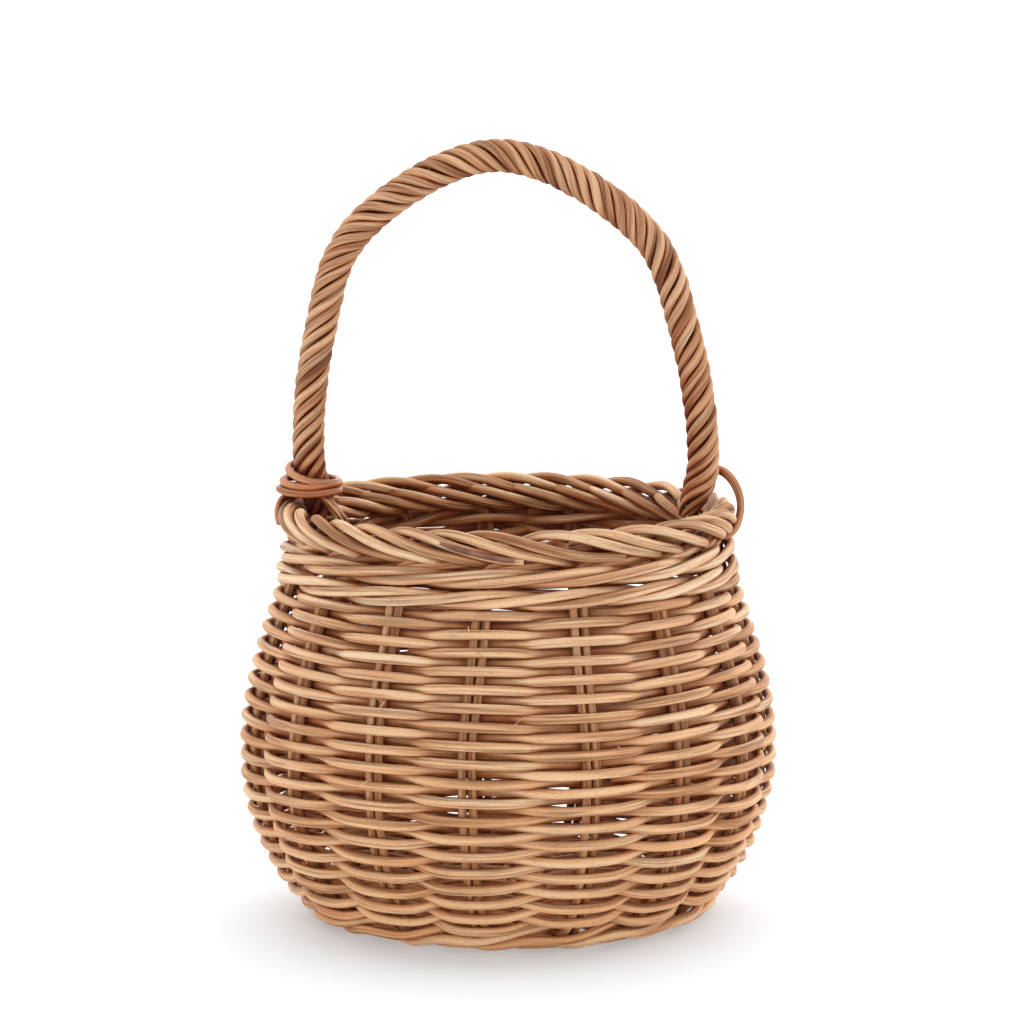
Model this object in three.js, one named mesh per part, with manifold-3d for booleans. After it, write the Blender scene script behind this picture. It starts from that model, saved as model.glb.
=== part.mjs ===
// Round rattan basket with a fixed arched handle. Fifteen long rods cross in the base, turn up as
// fifteen pairs of stakes and end in a rope border; separate rods are woven round them.
// Millimetres, +Z up, origin on the floor under the centre of the base, handle in the XZ plane.
import * as THREE from 'three';
import Module from 'manifold-3d';
import { mergeVertices } from 'three/addons/utils/BufferGeometryUtils.js';

// Shape of the wall, measured at the middle of the stakes
const BELLY_RADIUS = 94.6;
const BELLY_HEIGHT = 62.5;
const NECK_IN_FROM_BELLY = 17;
const NECK_HEIGHT = 142;
const FOOT_IN_FROM_BELLY = 28.2;
const FOOT_HEIGHT = 5.1;
const CROWN_HEIGHT = 9;
const FOOT_ROUNDING = 9;
const BELLY_FULLNESS_BELOW = 31;
const BELLY_FULLNESS_ABOVE = 32;
const NECK_STRAIGHT = 20;

// Rods: half of their thickness, and the gap left where one lies on another
const STAKE_HALF = 1.55;
const WEAVER_HALF = 1.42;
const WALE_HALF = 1.45;
const TOUCH_GAP = 0.3;

// Stakes stand in pairs, as ends of long rods that cross in the middle of the base
const STAKE_PAIRS = 15;
const PAIR_GAP = 0.5;
const CROSS_GAP = 0.6;
const CROSS_COUNT_LOWER = 7;
const CROSS_CLEAR = 2.2;
const LAYER_RADIUS = 22;
const FAN_RADIUS = 31;
const LOWER_FIRST_END = -2;
const WALL_STATION_STEP = 17;
const FOOT_STATION_STEP = 8;

// Weave: rows, and how much further than touching a rod stands in behind and out in front
const WALL_ROW_SPACING = 3.27;
const WALL_WEAVERS = 8;
const WEAVE_SLACK_BACK = 0.42;
const WEAVE_SLACK_FRONT = 1.35;
const WEAVE_START_PAIR = 4;
const JOIN_START = 0.22;
const JOIN_END = 0.1;
const BASE_ROWS = 7;
const BASE_ROW_PITCH = 3.5;
const BASE_WEAVE_INSET = 7;
const BASE_PAIR_CLEAR = 0.35;

// Wales: the twisted rounds of three rods at the foot and under the border
const WALE_ROUND_COUNT = 2;
const WALE_RODS = 3;
const WALE_SLACK_BACK = 0.5;
const WALE_SLACK_FRONT = 1.1;
const WALE_LAY_CLEAR = 0.35;
const WALE_NESTING = 0.1;
const WALE_BELOW_TOP = 0.6;
const WALE_SIDES = 5;
const FLOOR_BLOCK = 400;

// Rope border: its rods turn from inside over the top to the outside
const ROPE_OUT = 1.4;
const ROPE_RISE = 7.2;
const ROPE_SLACK = 0.05;
const ROPE_TURN_PER_DEGREE = 5.5;
const ROPE_FIRST = 215;
const ROPE_LAST = -60;
const ROPE_STEPS = 6;
const ROPE_ENTRY = 3;
const STAKE_BELOW_TOP = 4;
const SECOND_BELOW_TOP = 2.2;

// Waypoints between a stake and the rope: degrees on from the pair, then how far inside the neck
// and how far below the rope's middle
const FIRST_ROD_WAY = [{ on: -0.9, inside: 0.4, below: 4.2 }];
const SECOND_ROD_WAY = [{ on: 2.6, inside: 0.2, below: 6.3 }, { on: 8, inside: 0.7, below: 4.5 }];

// Handle: how far the arch is out or in from its feet, and its heights above the middle of the border
const CORE_RADIUS = 2;
const CORE_SIDES = 6;
const CORE_STEPS = 30;
const STRAND_HALF = 1.65;
const STRAND_SEAT = 0.8;
const STRAND_ABOVE_BORDER = 1.2;
const STRAND_STEPS_PER_TURN = 6;
const HANDLE_STRANDS = 6;
const HANDLE_TURNS = 7.5;
const LEG_CLEAR = 1.95;
const LEG_DEPTH = 23.2;
const LEG_SPLAY = 0.3;
const LEG_BASE_OUT = 4.2;
const LEG_BASE_RISE = 18.8;
const LEG_TOP_IN = 1;
const LEG_TOP_RISE = 64.8;
const SHOULDER_IN = 15.4;
const SHOULDER_RISE = 102.8;
const ARCH_RISE = 132.4;
const ARCH_LEAN = 3.7;

// Lashings that tie the handle's legs to the border
const LASHING_HALF = 1.3;
const LASHING_TURNS = 2.25;
const LASHING_PITCH = 3.5;
const LASHING_STEPS = 16;
const LASHING_SIDES = 6;
const LASHING_FROM_PAIR = 7;
const LASHING_LEG_CLEAR = 0.5;
const LASHING_BORDER_CLEAR = 0.45;
const LASHING_OVER_ROPE_FROM = 45;
const LASHING_OVER_ROPE_TO = -190;
const LASHING_OVER_ROPE_STEPS = 10;
const LASHING_DRIFT_STEPS = 4;

// Limits of the arithmetic
const MERGE_TOLERANCE = 1e-5;
const STRAIGHT_ENOUGH = 1e-6;
const CURVE_END = 0.999;
const BISECTIONS = 40;

// Sizes that follow from the ones above
const PAIR_SPACING = 2 * STAKE_HALF + PAIR_GAP;
const CROSS_SPACING = 2 * STAKE_HALF + CROSS_GAP;
const CROSS_COUNT_UPPER = STAKE_PAIRS - CROSS_COUNT_LOWER;
const NECK_RADIUS = BELLY_RADIUS - NECK_IN_FROM_BELLY;
const FOOT_RADIUS = BELLY_RADIUS - FOOT_IN_FROM_BELLY;
const BASE_WEAVE_OUTER = FOOT_RADIUS - BASE_WEAVE_INSET;
const ROPE_RADIUS = NECK_RADIUS + ROPE_OUT;
const ROPE_HEIGHT = NECK_HEIGHT + ROPE_RISE;
const ROPE_TWIST = 2 * STAKE_HALF + ROPE_SLACK;
const ROPE_TOP = ROPE_HEIGHT + ROPE_TWIST + STAKE_HALF;
const ROD_TO_STAKE = STAKE_HALF + TOUCH_GAP + WEAVER_HALF;
const WEAVE_BACK = ROD_TO_STAKE + WEAVE_SLACK_BACK;
const WEAVE_FRONT = ROD_TO_STAKE + WEAVE_SLACK_FRONT;
const WALE_TO_STAKE = STAKE_HALF + TOUCH_GAP + WALE_HALF;
const WALE_BACK = WALE_TO_STAKE + WALE_SLACK_BACK;
const WALE_FRONT = WALE_TO_STAKE + WALE_SLACK_FRONT;
const WALE_HALF_STEP = WALE_HALF + WALE_LAY_CLEAR;
const WALE_PITCH = 4 * WALE_HALF_STEP - WALE_NESTING;
const PAIR_ANGLE = 360 / STAKE_PAIRS;
const ENDS = 2 * STAKE_PAIRS;
const Z_AXIS = new THREE.Vector3(0, 0, 1);
const wasm = await Module();
wasm.setup();

function radians(degrees) {
  return degrees * Math.PI / 180;
}

function radial(angle) {
  return new THREE.Vector3(Math.cos(radians(angle)), Math.sin(radians(angle)), 0);
}

function around(angle) {
  return new THREE.Vector3(-Math.sin(radians(angle)), Math.cos(radians(angle)), 0);
}

function polar(angle, radius, z) {
  return radial(angle).multiplyScalar(radius).setZ(z);
}

// Sections of the rods: a polygon with one corner facing out, or a square with one flat facing out
function polygonSection(radius, sides) {
  const corners = [];
  for (let i = 0; i < sides; i += 1) {
    const a = i * 2 * Math.PI / sides;
    corners.push(new THREE.Vector2(radius * Math.cos(a), radius * Math.sin(a)));
  }
  return corners;
}

function squareSection(half) {
  return [[1, -1], [1, 1], [-1, 1], [-1, -1]].map(([x, y]) => new THREE.Vector2(half * x, half * y));
}

// A rod is a section carried along a row of stations, mitred at each bend and capped. Each station
// has a point and a side, the direction in which the section faces out.
function rodGeometry(stations, section) {
  const positions = [];
  const last = stations.length - 1;
  for (let k = 0; k <= last; k += 1) {
    const here = stations[k].point;
    const before = stations[Math.max(k - 1, 0)].point;
    const after = stations[Math.min(k + 1, last)].point;
    const inward = new THREE.Vector3().subVectors(here, before).normalize();
    const outward = new THREE.Vector3().subVectors(after, here).normalize();
    const along = new THREE.Vector3().addVectors(inward, outward).normalize();
    const across = new THREE.Vector3().crossVectors(along, stations[k].side).normalize();
    const out = new THREE.Vector3().crossVectors(across, along);
    const bend = new THREE.Vector3().subVectors(outward, inward);
    const mitre = k > 0 && k < last && bend.length() > STRAIGHT_ENOUGH ? 1 / along.dot(outward) - 1 : 0;
    bend.normalize();
    for (const corner of section) {
      const offset = new THREE.Vector3()
        .addScaledVector(out, corner.x)
        .addScaledVector(across, corner.y);
      offset.addScaledVector(bend, mitre * offset.dot(bend));
      positions.push(here.x + offset.x, here.y + offset.y, here.z + offset.z);
    }
  }
  const index = [];
  const n = section.length;
  for (let k = 0; k < last; k += 1) {
    for (let i = 0; i < n; i += 1) {
      const a = k * n + i;
      const b = k * n + (i + 1) % n;
      index.push(a, b, a + n, b, b + n, a + n);
    }
  }
  for (let i = 1; i < n - 1; i += 1) {
    index.push(0, i + 1, i);
    index.push(last * n, last * n + i, last * n + i + 1);
  }
  const geometry = new THREE.BufferGeometry();
  geometry.setAttribute('position', new THREE.Float32BufferAttribute(positions, 3));
  geometry.setIndex(index);
  return geometry;
}

// The meridian is the middle line of base and wall; s is the distance along it from the centre
const meridian = new THREE.CurvePath();
meridian.add(new THREE.CubicBezierCurve(
  new THREE.Vector2(0, CROWN_HEIGHT),
  new THREE.Vector2(FOOT_RADIUS / 3, CROWN_HEIGHT),
  new THREE.Vector2(2 * FOOT_RADIUS / 3, FOOT_HEIGHT),
  new THREE.Vector2(FOOT_RADIUS, FOOT_HEIGHT),
));
meridian.add(new THREE.CubicBezierCurve(
  new THREE.Vector2(FOOT_RADIUS, FOOT_HEIGHT),
  new THREE.Vector2(FOOT_RADIUS + FOOT_ROUNDING, FOOT_HEIGHT),
  new THREE.Vector2(BELLY_RADIUS, BELLY_HEIGHT - BELLY_FULLNESS_BELOW),
  new THREE.Vector2(BELLY_RADIUS, BELLY_HEIGHT),
));
meridian.add(new THREE.CubicBezierCurve(
  new THREE.Vector2(BELLY_RADIUS, BELLY_HEIGHT),
  new THREE.Vector2(BELLY_RADIUS, BELLY_HEIGHT + BELLY_FULLNESS_ABOVE),
  new THREE.Vector2(NECK_RADIUS, NECK_HEIGHT - NECK_STRAIGHT),
  new THREE.Vector2(NECK_RADIUS, NECK_HEIGHT),
));
const MERIDIAN_LENGTH = meridian.getLength();
meridian.add(new THREE.LineCurve(
  new THREE.Vector2(NECK_RADIUS, NECK_HEIGHT),
  new THREE.Vector2(NECK_RADIUS, ROPE_HEIGHT),
));
const MERIDIAN_AND_RIM = meridian.getLength();

function meridianAt(s) {
  const u = Math.min(s / MERIDIAN_AND_RIM, CURVE_END);
  const point = meridian.getPoint(u);
  const tangent = meridian.getTangent(u);
  return { radius: point.x, z: point.y, normal: new THREE.Vector2(tangent.y, -tangent.x) };
}

// A station in the weave: s along the meridian, rho out of the wall, slip round the basket
function weaveStation(angle, s, rho, slip = 0) {
  const { radius, z, normal } = meridianAt(s);
  const point = polar(angle, radius + rho * normal.x, z + rho * normal.y);
  point.addScaledVector(around(angle), slip);
  const side = radial(angle).multiplyScalar(normal.x).setZ(normal.y);
  return { point, side };
}

// Zones along the meridian, from the base outwards
const BOTTOM_WALE_S = BASE_WEAVE_OUTER + WEAVER_HALF + TOUCH_GAP + WALE_HALF_STEP + WALE_HALF;
const TOP_WALE_END = MERIDIAN_LENGTH - WALE_BELOW_TOP;
const TOP_WALE_S = TOP_WALE_END - WALE_ROUND_COUNT * WALE_PITCH + WALE_HALF_STEP + TOUCH_GAP;
const WALL_START = BOTTOM_WALE_S + (WALE_ROUND_COUNT - 1) * WALE_PITCH
  + WALE_HALF_STEP + WALE_HALF + 2.5 * TOUCH_GAP + WEAVER_HALF;
const WALL_END = TOP_WALE_S - WALE_HALF_STEP - WALE_HALF - TOUCH_GAP - WEAVER_HALF;
const WALL_ROWS = 1 + Math.round((WALL_END - WALL_START) / WALL_ROW_SPACING);
const WALL_PITCH = (WALL_END - WALL_START) / (WALL_ROWS - 1);

const basket = new THREE.Group();

function addPiece(name, geometry, color, roughness = 0.62) {
  const material = new THREE.MeshStandardMaterial({ color, roughness, metalness: 0 });
  const mesh = new THREE.Mesh(geometry, material);
  mesh.name = name;
  basket.add(mesh);
}

// Long rods: each crosses the base, and both of its ends run up the wall into the border
const stakeSection = polygonSection(STAKE_HALF, 4);

function endPair(end) {
  return Math.floor(end / 2);
}

function endSide(end) {
  return end % 2 === 0 ? -1 : 1;
}

function stakeStation(end, s, rho = 0) {
  return weaveStation(endPair(end) * PAIR_ANGLE, s, rho, endSide(end) * PAIR_SPACING / 2);
}

function layerStation(end, s, lift) {
  const station = stakeStation(end, s);
  station.point.z += lift;
  return station;
}

function ropeStation(angle, turn) {
  const radius = ROPE_RADIUS + ROPE_TWIST * Math.cos(radians(turn));
  const z = ROPE_HEIGHT + ROPE_TWIST * Math.sin(radians(turn));
  return { point: polar(angle, radius, z), side: radial(angle) };
}

// The first rod of a pair turns into the rope at once; the second runs low beneath it and follows
function borderStations(end) {
  const pairAngle = endPair(end) * PAIR_ANGLE;
  const isFirst = endSide(end) < 0;
  const way = isFirst ? FIRST_ROD_WAY : SECOND_ROD_WAY;
  const ropeStart = pairAngle + ROPE_ENTRY + (isFirst ? 0 : PAIR_ANGLE / 2);
  const stations = [stakeStation(end, MERIDIAN_LENGTH - (isFirst ? 0 : SECOND_BELOW_TOP))];
  for (const { on, inside, below } of way) {
    stations.push({
      point: polar(pairAngle + on, NECK_RADIUS - inside, ROPE_HEIGHT - below),
      side: radial(pairAngle + on),
    });
  }
  for (let k = 0; k <= ROPE_STEPS; k += 1) {
    const turned = (ROPE_FIRST - ROPE_LAST) * k / ROPE_STEPS;
    stations.push(ropeStation(ropeStart + turned / ROPE_TURN_PER_DEGREE, ROPE_FIRST - turned));
  }
  return stations;
}

// One half of a long rod, from the crossing outwards. Rods of a set lie side by side, and each
// bends off towards its pair before it reaches the edge of the other set.
function halfRod(end, direction, offset, halfCrossing, lift) {
  const bendAngle = Math.abs(THREE.MathUtils.euclideanModulo(
    endPair(end) * PAIR_ANGLE - direction + 180, 360) - 180);
  const reach = halfCrossing - Math.abs(offset) * Math.tan(radians(bendAngle) / 2);
  const start = radial(direction).multiplyScalar(reach)
    .addScaledVector(around(direction), offset)
    .setZ(meridianAt(reach).z + lift);
  const stations = [{ point: start, side: new THREE.Vector3(0, 0, -1) }];
  stations.push(layerStation(end, LAYER_RADIUS, lift));
  stations.push(stakeStation(end, FAN_RADIUS));
  stations.push(stakeStation(end, (FAN_RADIUS + BASE_WEAVE_OUTER) / 2));
  const wallStart = WALL_START + 3 * FOOT_STATION_STEP;
  const footSteps = Math.round((wallStart - BASE_WEAVE_OUTER) / FOOT_STATION_STEP);
  const footStep = (wallStart - BASE_WEAVE_OUTER) / footSteps;
  for (let k = 0; k < footSteps; k += 1) {
    stations.push(stakeStation(end, BASE_WEAVE_OUTER + k * footStep));
  }
  const wallStop = MERIDIAN_LENGTH - STAKE_BELOW_TOP;
  const wallSteps = Math.round((wallStop - wallStart) / WALL_STATION_STEP);
  for (let k = 0; k < wallSteps; k += 1) {
    stations.push(stakeStation(end, wallStart + k * (wallStop - wallStart) / wallSteps));
  }
  stations.push(...borderStations(end));
  return stations;
}

function addRodSet(firstName, count, otherCount, firstEnd, lift) {
  const direction = (firstEnd + (count - 1) / 2) * PAIR_ANGLE / 2 - PAIR_ANGLE / 4;
  const halfCrossing = otherCount * CROSS_SPACING / 2 + CROSS_CLEAR;
  for (let k = 0; k < count; k += 1) {
    const offset = (k - (count - 1) / 2) * CROSS_SPACING;
    const nearEnd = (firstEnd + k + ENDS) % ENDS;
    const farEnd = (firstEnd + STAKE_PAIRS + count - 1 - k + ENDS) % ENDS;
    const near = halfRod(nearEnd, direction, offset, halfCrossing, lift);
    const far = halfRod(farEnd, direction + 180, -offset, halfCrossing, lift);
    const stations = [...far.reverse(), ...near];
    const name = `stake_rod_${String(firstName + k).padStart(2, '0')}`;
    addPiece(name, rodGeometry(stations, stakeSection), k % 2 ? 0xc99a68 : 0xd2a675);
  }
}

const LAYER_LIFT = STAKE_HALF + TOUCH_GAP / 2;
addRodSet(1, CROSS_COUNT_LOWER, CROSS_COUNT_UPPER, LOWER_FIRST_END, -LAYER_LIFT);
addRodSet(1 + CROSS_COUNT_LOWER, CROSS_COUNT_UPPER, CROSS_COUNT_LOWER,
  LOWER_FIRST_END + CROSS_COUNT_LOWER, LAYER_LIFT);

// Base weave: over one pair and under the next, flat across each pair
const weaverSection = squareSection(WEAVER_HALF);
const baseStations = [];
const BASE_FLAT = PAIR_SPACING / 2 + STAKE_HALF + BASE_PAIR_CLEAR;
for (let i = 0; i <= BASE_ROWS * STAKE_PAIRS; i += 1) {
  const s = BASE_WEAVE_OUTER - BASE_ROW_PITCH * (BASE_ROWS - i / STAKE_PAIRS);
  const rho = i % 2 === 0 ? -ROD_TO_STAKE : ROD_TO_STAKE;
  const angle = (WEAVE_START_PAIR + i) * PAIR_ANGLE;
  baseStations.push(weaveStation(angle, s, rho, -BASE_FLAT));
  baseStations.push(weaveStation(angle, s, rho, BASE_FLAT));
}
addPiece('base_weaver', rodGeometry(baseStations, weaverSection), 0xc29263);

// Wale: three rods, each in front of two pairs and behind the third. A rod comes out low, climbs
// across two pairs and goes back in high. A round is level, and steps up in its last space.
const waleSection = polygonSection(WALE_HALF, WALE_SIDES);

function waleStations(rod, startS) {
  const stations = [];
  const phases = [
    { at: 0, rho: -WALE_BACK, rise: 0 },
    { at: 0.5, rho: 0, rise: -WALE_HALF_STEP },
    { at: 1, rho: WALE_FRONT, rise: -WALE_HALF_STEP },
    { at: 1.5, rho: WALE_FRONT, rise: 0 },
    { at: 2, rho: WALE_FRONT, rise: WALE_HALF_STEP },
    { at: 2.5, rho: 0, rise: WALE_HALF_STEP },
  ];
  const spans = WALE_ROUND_COUNT * STAKE_PAIRS / WALE_RODS - 1;
  for (let span = 0; span <= spans; span += 1) {
    for (const phase of phases) {
      const i = rod + span * WALE_RODS + phase.at;
      if (span === spans && phase.at > 0) break;
      const round = Math.floor(i / STAKE_PAIRS);
      const step = THREE.MathUtils.smoothstep(i % STAKE_PAIRS, STAKE_PAIRS - 1, STAKE_PAIRS);
      const s = startS + (round + step) * WALE_PITCH + phase.rise;
      stations.push(weaveStation((WEAVE_START_PAIR + i) * PAIR_ANGLE, s, phase.rho));
    }
  }
  return stations;
}

function solidOf(geometry) {
  const merged = mergeVertices(geometry, MERGE_TOLERANCE);
  return new wasm.Manifold(new wasm.Mesh({
    numProp: 3,
    vertProperties: new Float32Array(merged.attributes.position.array),
    triVerts: new Uint32Array(merged.index.array),
  }));
}

function geometryOf(solid) {
  const mesh = solid.getMesh();
  const geometry = new THREE.BufferGeometry();
  geometry.setAttribute('position', new THREE.Float32BufferAttribute(mesh.vertProperties, 3));
  geometry.setIndex([...mesh.triVerts]);
  return geometry;
}

// The floor cuts a little off the lowest rods, so that the basket stands on small flats
const floorBox = new THREE.BoxGeometry(FLOOR_BLOCK, FLOOR_BLOCK, FLOOR_BLOCK);
floorBox.translate(0, 0, -FLOOR_BLOCK / 2);
floorBox.deleteAttribute('normal');
floorBox.deleteAttribute('uv');
const floorSolid = solidOf(floorBox);

for (let rod = 0; rod < WALE_RODS; rod += 1) {
  const bottom = rodGeometry(waleStations(rod, BOTTOM_WALE_S), waleSection);
  const cut = solidOf(bottom).subtract(floorSolid);
  addPiece(`bottom_wale_rod_${rod + 1}`, geometryOf(cut), 0xcda06f);
  const top = rodGeometry(waleStations(rod, TOP_WALE_S), waleSection);
  addPiece(`top_wale_rod_${rod + 1}`, top, 0xcda06f);
}

// Wall weave: one continuous spiral over one pair and under the next, laid in with one weaver
// after another. Each weaver starts and ends behind a pair.
const wallTurns = (WALL_ROWS - 1) * STAKE_PAIRS;

function wallStation(i) {
  const s = WALL_START + WALL_PITCH * i / STAKE_PAIRS;
  const lower = Math.floor(i);
  const rho = THREE.MathUtils.lerp(wallRho(lower), wallRho(lower + 1), i - lower);
  return weaveStation((WEAVE_START_PAIR + i) * PAIR_ANGLE, s, rho);
}

function wallRho(i) {
  return i % 2 === 0 ? -WEAVE_BACK : WEAVE_FRONT;
}

for (let weaver = 0; weaver < WALL_WEAVERS; weaver += 1) {
  const from = 2 * Math.round(wallTurns * weaver / WALL_WEAVERS / 2);
  const to = Math.min(2 * Math.round(wallTurns * (weaver + 1) / WALL_WEAVERS / 2), wallTurns);
  const stations = [wallStation(from + JOIN_START)];
  for (let i = from + 1; i <= to; i += 1) stations.push(wallStation(i));
  if (weaver < WALL_WEAVERS - 1) stations.push(wallStation(to + JOIN_END));
  addPiece(`wall_weaver_${weaver + 1}`, rodGeometry(stations, weaverSection),
    weaver % 2 ? 0xd6aa7a : 0xcb9c6a);
}

// Handle: a core rod bent into an arch, wrapped with strands
const LEG_FOOT_X = NECK_RADIUS - WALE_BACK - WALE_HALF - LEG_CLEAR - CORE_RADIUS;
const archHalf = [
  new THREE.Vector3(-LEG_FOOT_X, 0, ROPE_HEIGHT - LEG_DEPTH),
  new THREE.Vector3(-LEG_FOOT_X - LEG_SPLAY, 0, ROPE_HEIGHT),
  new THREE.Vector3(-LEG_FOOT_X - LEG_BASE_OUT, 0, ROPE_HEIGHT + LEG_BASE_RISE),
  new THREE.Vector3(-LEG_FOOT_X + LEG_TOP_IN, 0, ROPE_HEIGHT + LEG_TOP_RISE),
  new THREE.Vector3(-LEG_FOOT_X + SHOULDER_IN, 0, ROPE_HEIGHT + SHOULDER_RISE),
];
const archOther = archHalf.map((p) => new THREE.Vector3(-p.x, 0, p.z)).reverse();
const archPoints = [...archHalf, new THREE.Vector3(0, 0, ROPE_HEIGHT + ARCH_RISE), ...archOther];
for (const p of archPoints) {
  p.x -= ARCH_LEAN * Math.max(p.z - ROPE_HEIGHT, 0) / ARCH_RISE;
}
const arch = new THREE.CatmullRomCurve3(archPoints, false, 'centripetal');
const coreStations = [];
for (let k = 0; k <= CORE_STEPS; k += 1) {
  coreStations.push({ point: arch.getPointAt(k / CORE_STEPS), side: new THREE.Vector3(0, 1, 0) });
}
const coreSection = polygonSection(CORE_RADIUS, CORE_SIDES);
addPiece('handle_core', rodGeometry(coreStations, coreSection), 0xb58355);

const STRAND_RADIUS = CORE_RADIUS + STRAND_SEAT + STRAND_HALF;

function archPositionAtHeight(z) {
  let low = 0;
  let high = 0.5;
  for (let k = 0; k < BISECTIONS; k += 1) {
    const middle = (low + high) / 2;
    if (arch.getPointAt(middle).z < z) low = middle;
    else high = middle;
  }
  return low;
}

const strandFrom = archPositionAtHeight(ROPE_TOP + STRAND_ABOVE_BORDER);
const strandSteps = Math.round(HANDLE_TURNS * STRAND_STEPS_PER_TURN);
for (let strand = 0; strand < HANDLE_STRANDS; strand += 1) {
  const stations = [];
  for (let k = 0; k <= strandSteps; k += 1) {
    const u = strandFrom + (1 - 2 * strandFrom) * k / strandSteps;
    const centre = arch.getPointAt(u);
    const tangent = arch.getTangentAt(u);
    const sideways = new THREE.Vector3(0, 1, 0);
    const outward = new THREE.Vector3().crossVectors(sideways, tangent);
    const turn = -2 * Math.PI * (strand / HANDLE_STRANDS + k / STRAND_STEPS_PER_TURN);
    const side = sideways.multiplyScalar(Math.cos(turn)).addScaledVector(outward, Math.sin(turn));
    stations.push({ point: centre.addScaledVector(side, STRAND_RADIUS), side });
  }
  addPiece(`handle_strand_${strand + 1}`, rodGeometry(stations, polygonSection(STRAND_HALF, 4)),
    strand % 2 ? 0xc79866 : 0xba8757);
}

// Lashing: winds down round the leg above the border, then once round the rope border beside it
const lashingSection = polygonSection(LASHING_HALF, LASHING_SIDES);
const LASHING_LEG_RADIUS = STRAND_RADIUS + STRAND_HALF + LASHING_LEG_CLEAR + LASHING_HALF;
const LASHING_CLEAR = TOUCH_GAP + LASHING_HALF + LASHING_BORDER_CLEAR;
const LASHING_ROPE_RADIUS = ROPE_TWIST + STAKE_HALF + LASHING_CLEAR;

function lashingPoints(legAngle, passAngle) {
  const points = [];
  const legSide = Math.sign(radial(legAngle).x);
  const sense = -Math.sign(passAngle - legAngle);
  const coilSteps = Math.round(LASHING_TURNS * LASHING_STEPS);
  for (let k = 0; k <= coilSteps; k += 1) {
    const turn = k / LASHING_STEPS - LASHING_TURNS;
    const z = ROPE_TOP + LASHING_CLEAR - LASHING_PITCH * turn;
    const u = archPositionAtHeight(z);
    const centre = arch.getPointAt(legSide < 0 ? u : 1 - u);
    const bearing = radial(legAngle + sense * 360 * turn);
    points.push(centre.setZ(z).addScaledVector(bearing, LASHING_LEG_RADIUS));
  }
  for (let k = 1; k <= LASHING_OVER_ROPE_STEPS; k += 1) {
    const share = k / LASHING_OVER_ROPE_STEPS;
    const turn = radians(THREE.MathUtils.lerp(LASHING_OVER_ROPE_FROM, LASHING_OVER_ROPE_TO, share));
    const drift = Math.min(k / LASHING_DRIFT_STEPS, 1);
    points.push(polar(
      THREE.MathUtils.lerp(legAngle, passAngle, drift),
      ROPE_RADIUS + LASHING_ROPE_RADIUS * Math.cos(turn),
      ROPE_HEIGHT + LASHING_ROPE_RADIUS * Math.sin(turn),
    ));
  }
  return points;
}

function leastSelfGap(points, rodRadius) {
  let least = Infinity;
  const apart = Math.round(LASHING_STEPS / 2);
  for (let i = 0; i < points.length; i += 1) {
    for (let j = i + apart; j < points.length; j += 1) {
      least = Math.min(least, points[i].distanceTo(points[j]) - 2 * rodRadius);
    }
  }
  return least;
}

function addLashing(name, legAngle, passAngle) {
  const points = lashingPoints(legAngle, passAngle);
  const gap = leastSelfGap(points, LASHING_HALF);
  console.log(`${name}: least gap between its turns ${gap.toFixed(2)} mm`);
  const stations = points.map((point) => ({ point, side: Z_AXIS }));
  addPiece(name, rodGeometry(stations, lashingSection), 0x8c5534, 0.5);
}

const PAIR_PAST_LEFT_LEG = Math.ceil(180 / PAIR_ANGLE);
addLashing('left_lashing', 180, PAIR_PAST_LEFT_LEG * PAIR_ANGLE - LASHING_FROM_PAIR);
addLashing('right_lashing', 0, -LASHING_FROM_PAIR);

export default basket;
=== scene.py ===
# %% [markdown]
# # A small round rattan basket
# The basket stands about 29 cm high with its fixed handle. It is woven from round rattan rods:
# pairs of upright stakes, long weavers that go in front of one pair and behind the next, thicker
# twisted rows at the foot and under the border, a rope border made of the stakes' own ends, and a
# handle wrapped with strands.
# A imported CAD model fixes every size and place. This script builds a rounder, livelier rod for each
# of its solids, gives them procedural rattan materials, and sets up the studio. Rods are worked out
# in millimetres and turned into Blender's metres with `MM`.

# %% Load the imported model
import math

import bpy
import numpy as np
from mathutils.bvhtree import BVHTree
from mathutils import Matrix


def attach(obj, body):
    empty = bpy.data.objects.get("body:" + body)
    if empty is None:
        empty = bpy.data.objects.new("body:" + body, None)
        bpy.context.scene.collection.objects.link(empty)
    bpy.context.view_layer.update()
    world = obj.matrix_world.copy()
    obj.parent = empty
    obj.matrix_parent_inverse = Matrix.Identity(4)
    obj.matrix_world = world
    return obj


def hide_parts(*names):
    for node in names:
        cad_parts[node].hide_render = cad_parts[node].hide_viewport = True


MM = 0.001

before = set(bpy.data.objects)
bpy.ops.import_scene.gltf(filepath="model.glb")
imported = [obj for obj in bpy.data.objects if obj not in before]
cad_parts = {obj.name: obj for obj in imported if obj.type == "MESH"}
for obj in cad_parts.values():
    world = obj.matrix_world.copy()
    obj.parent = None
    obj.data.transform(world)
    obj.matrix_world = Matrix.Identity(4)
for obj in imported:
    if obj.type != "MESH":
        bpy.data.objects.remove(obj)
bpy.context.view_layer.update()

# %% [markdown]
# ## Camera
# The photograph was taken from well back with a long lens, looking down a little: the mouth shows
# as a thin ellipse and the far side of the border is only slightly smaller than the near side. A
# short lens close by would swell the belly.

# %% Camera
IMAGE_SIDE = 1024
FOCAL_PIXELS = 4500
SENSOR_WIDTH = 36
CAMERA_PITCH = math.radians(8)
CAMERA_DISTANCE = 1660 * MM
CAMERA_TARGET = (1.66 * MM, 0, 149 * MM)


def add_object(name, data):
    """A new object in the scene that shows this mesh, camera or light."""
    added = bpy.data.objects.new(name, data)
    bpy.context.scene.collection.objects.link(added)
    return added


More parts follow.
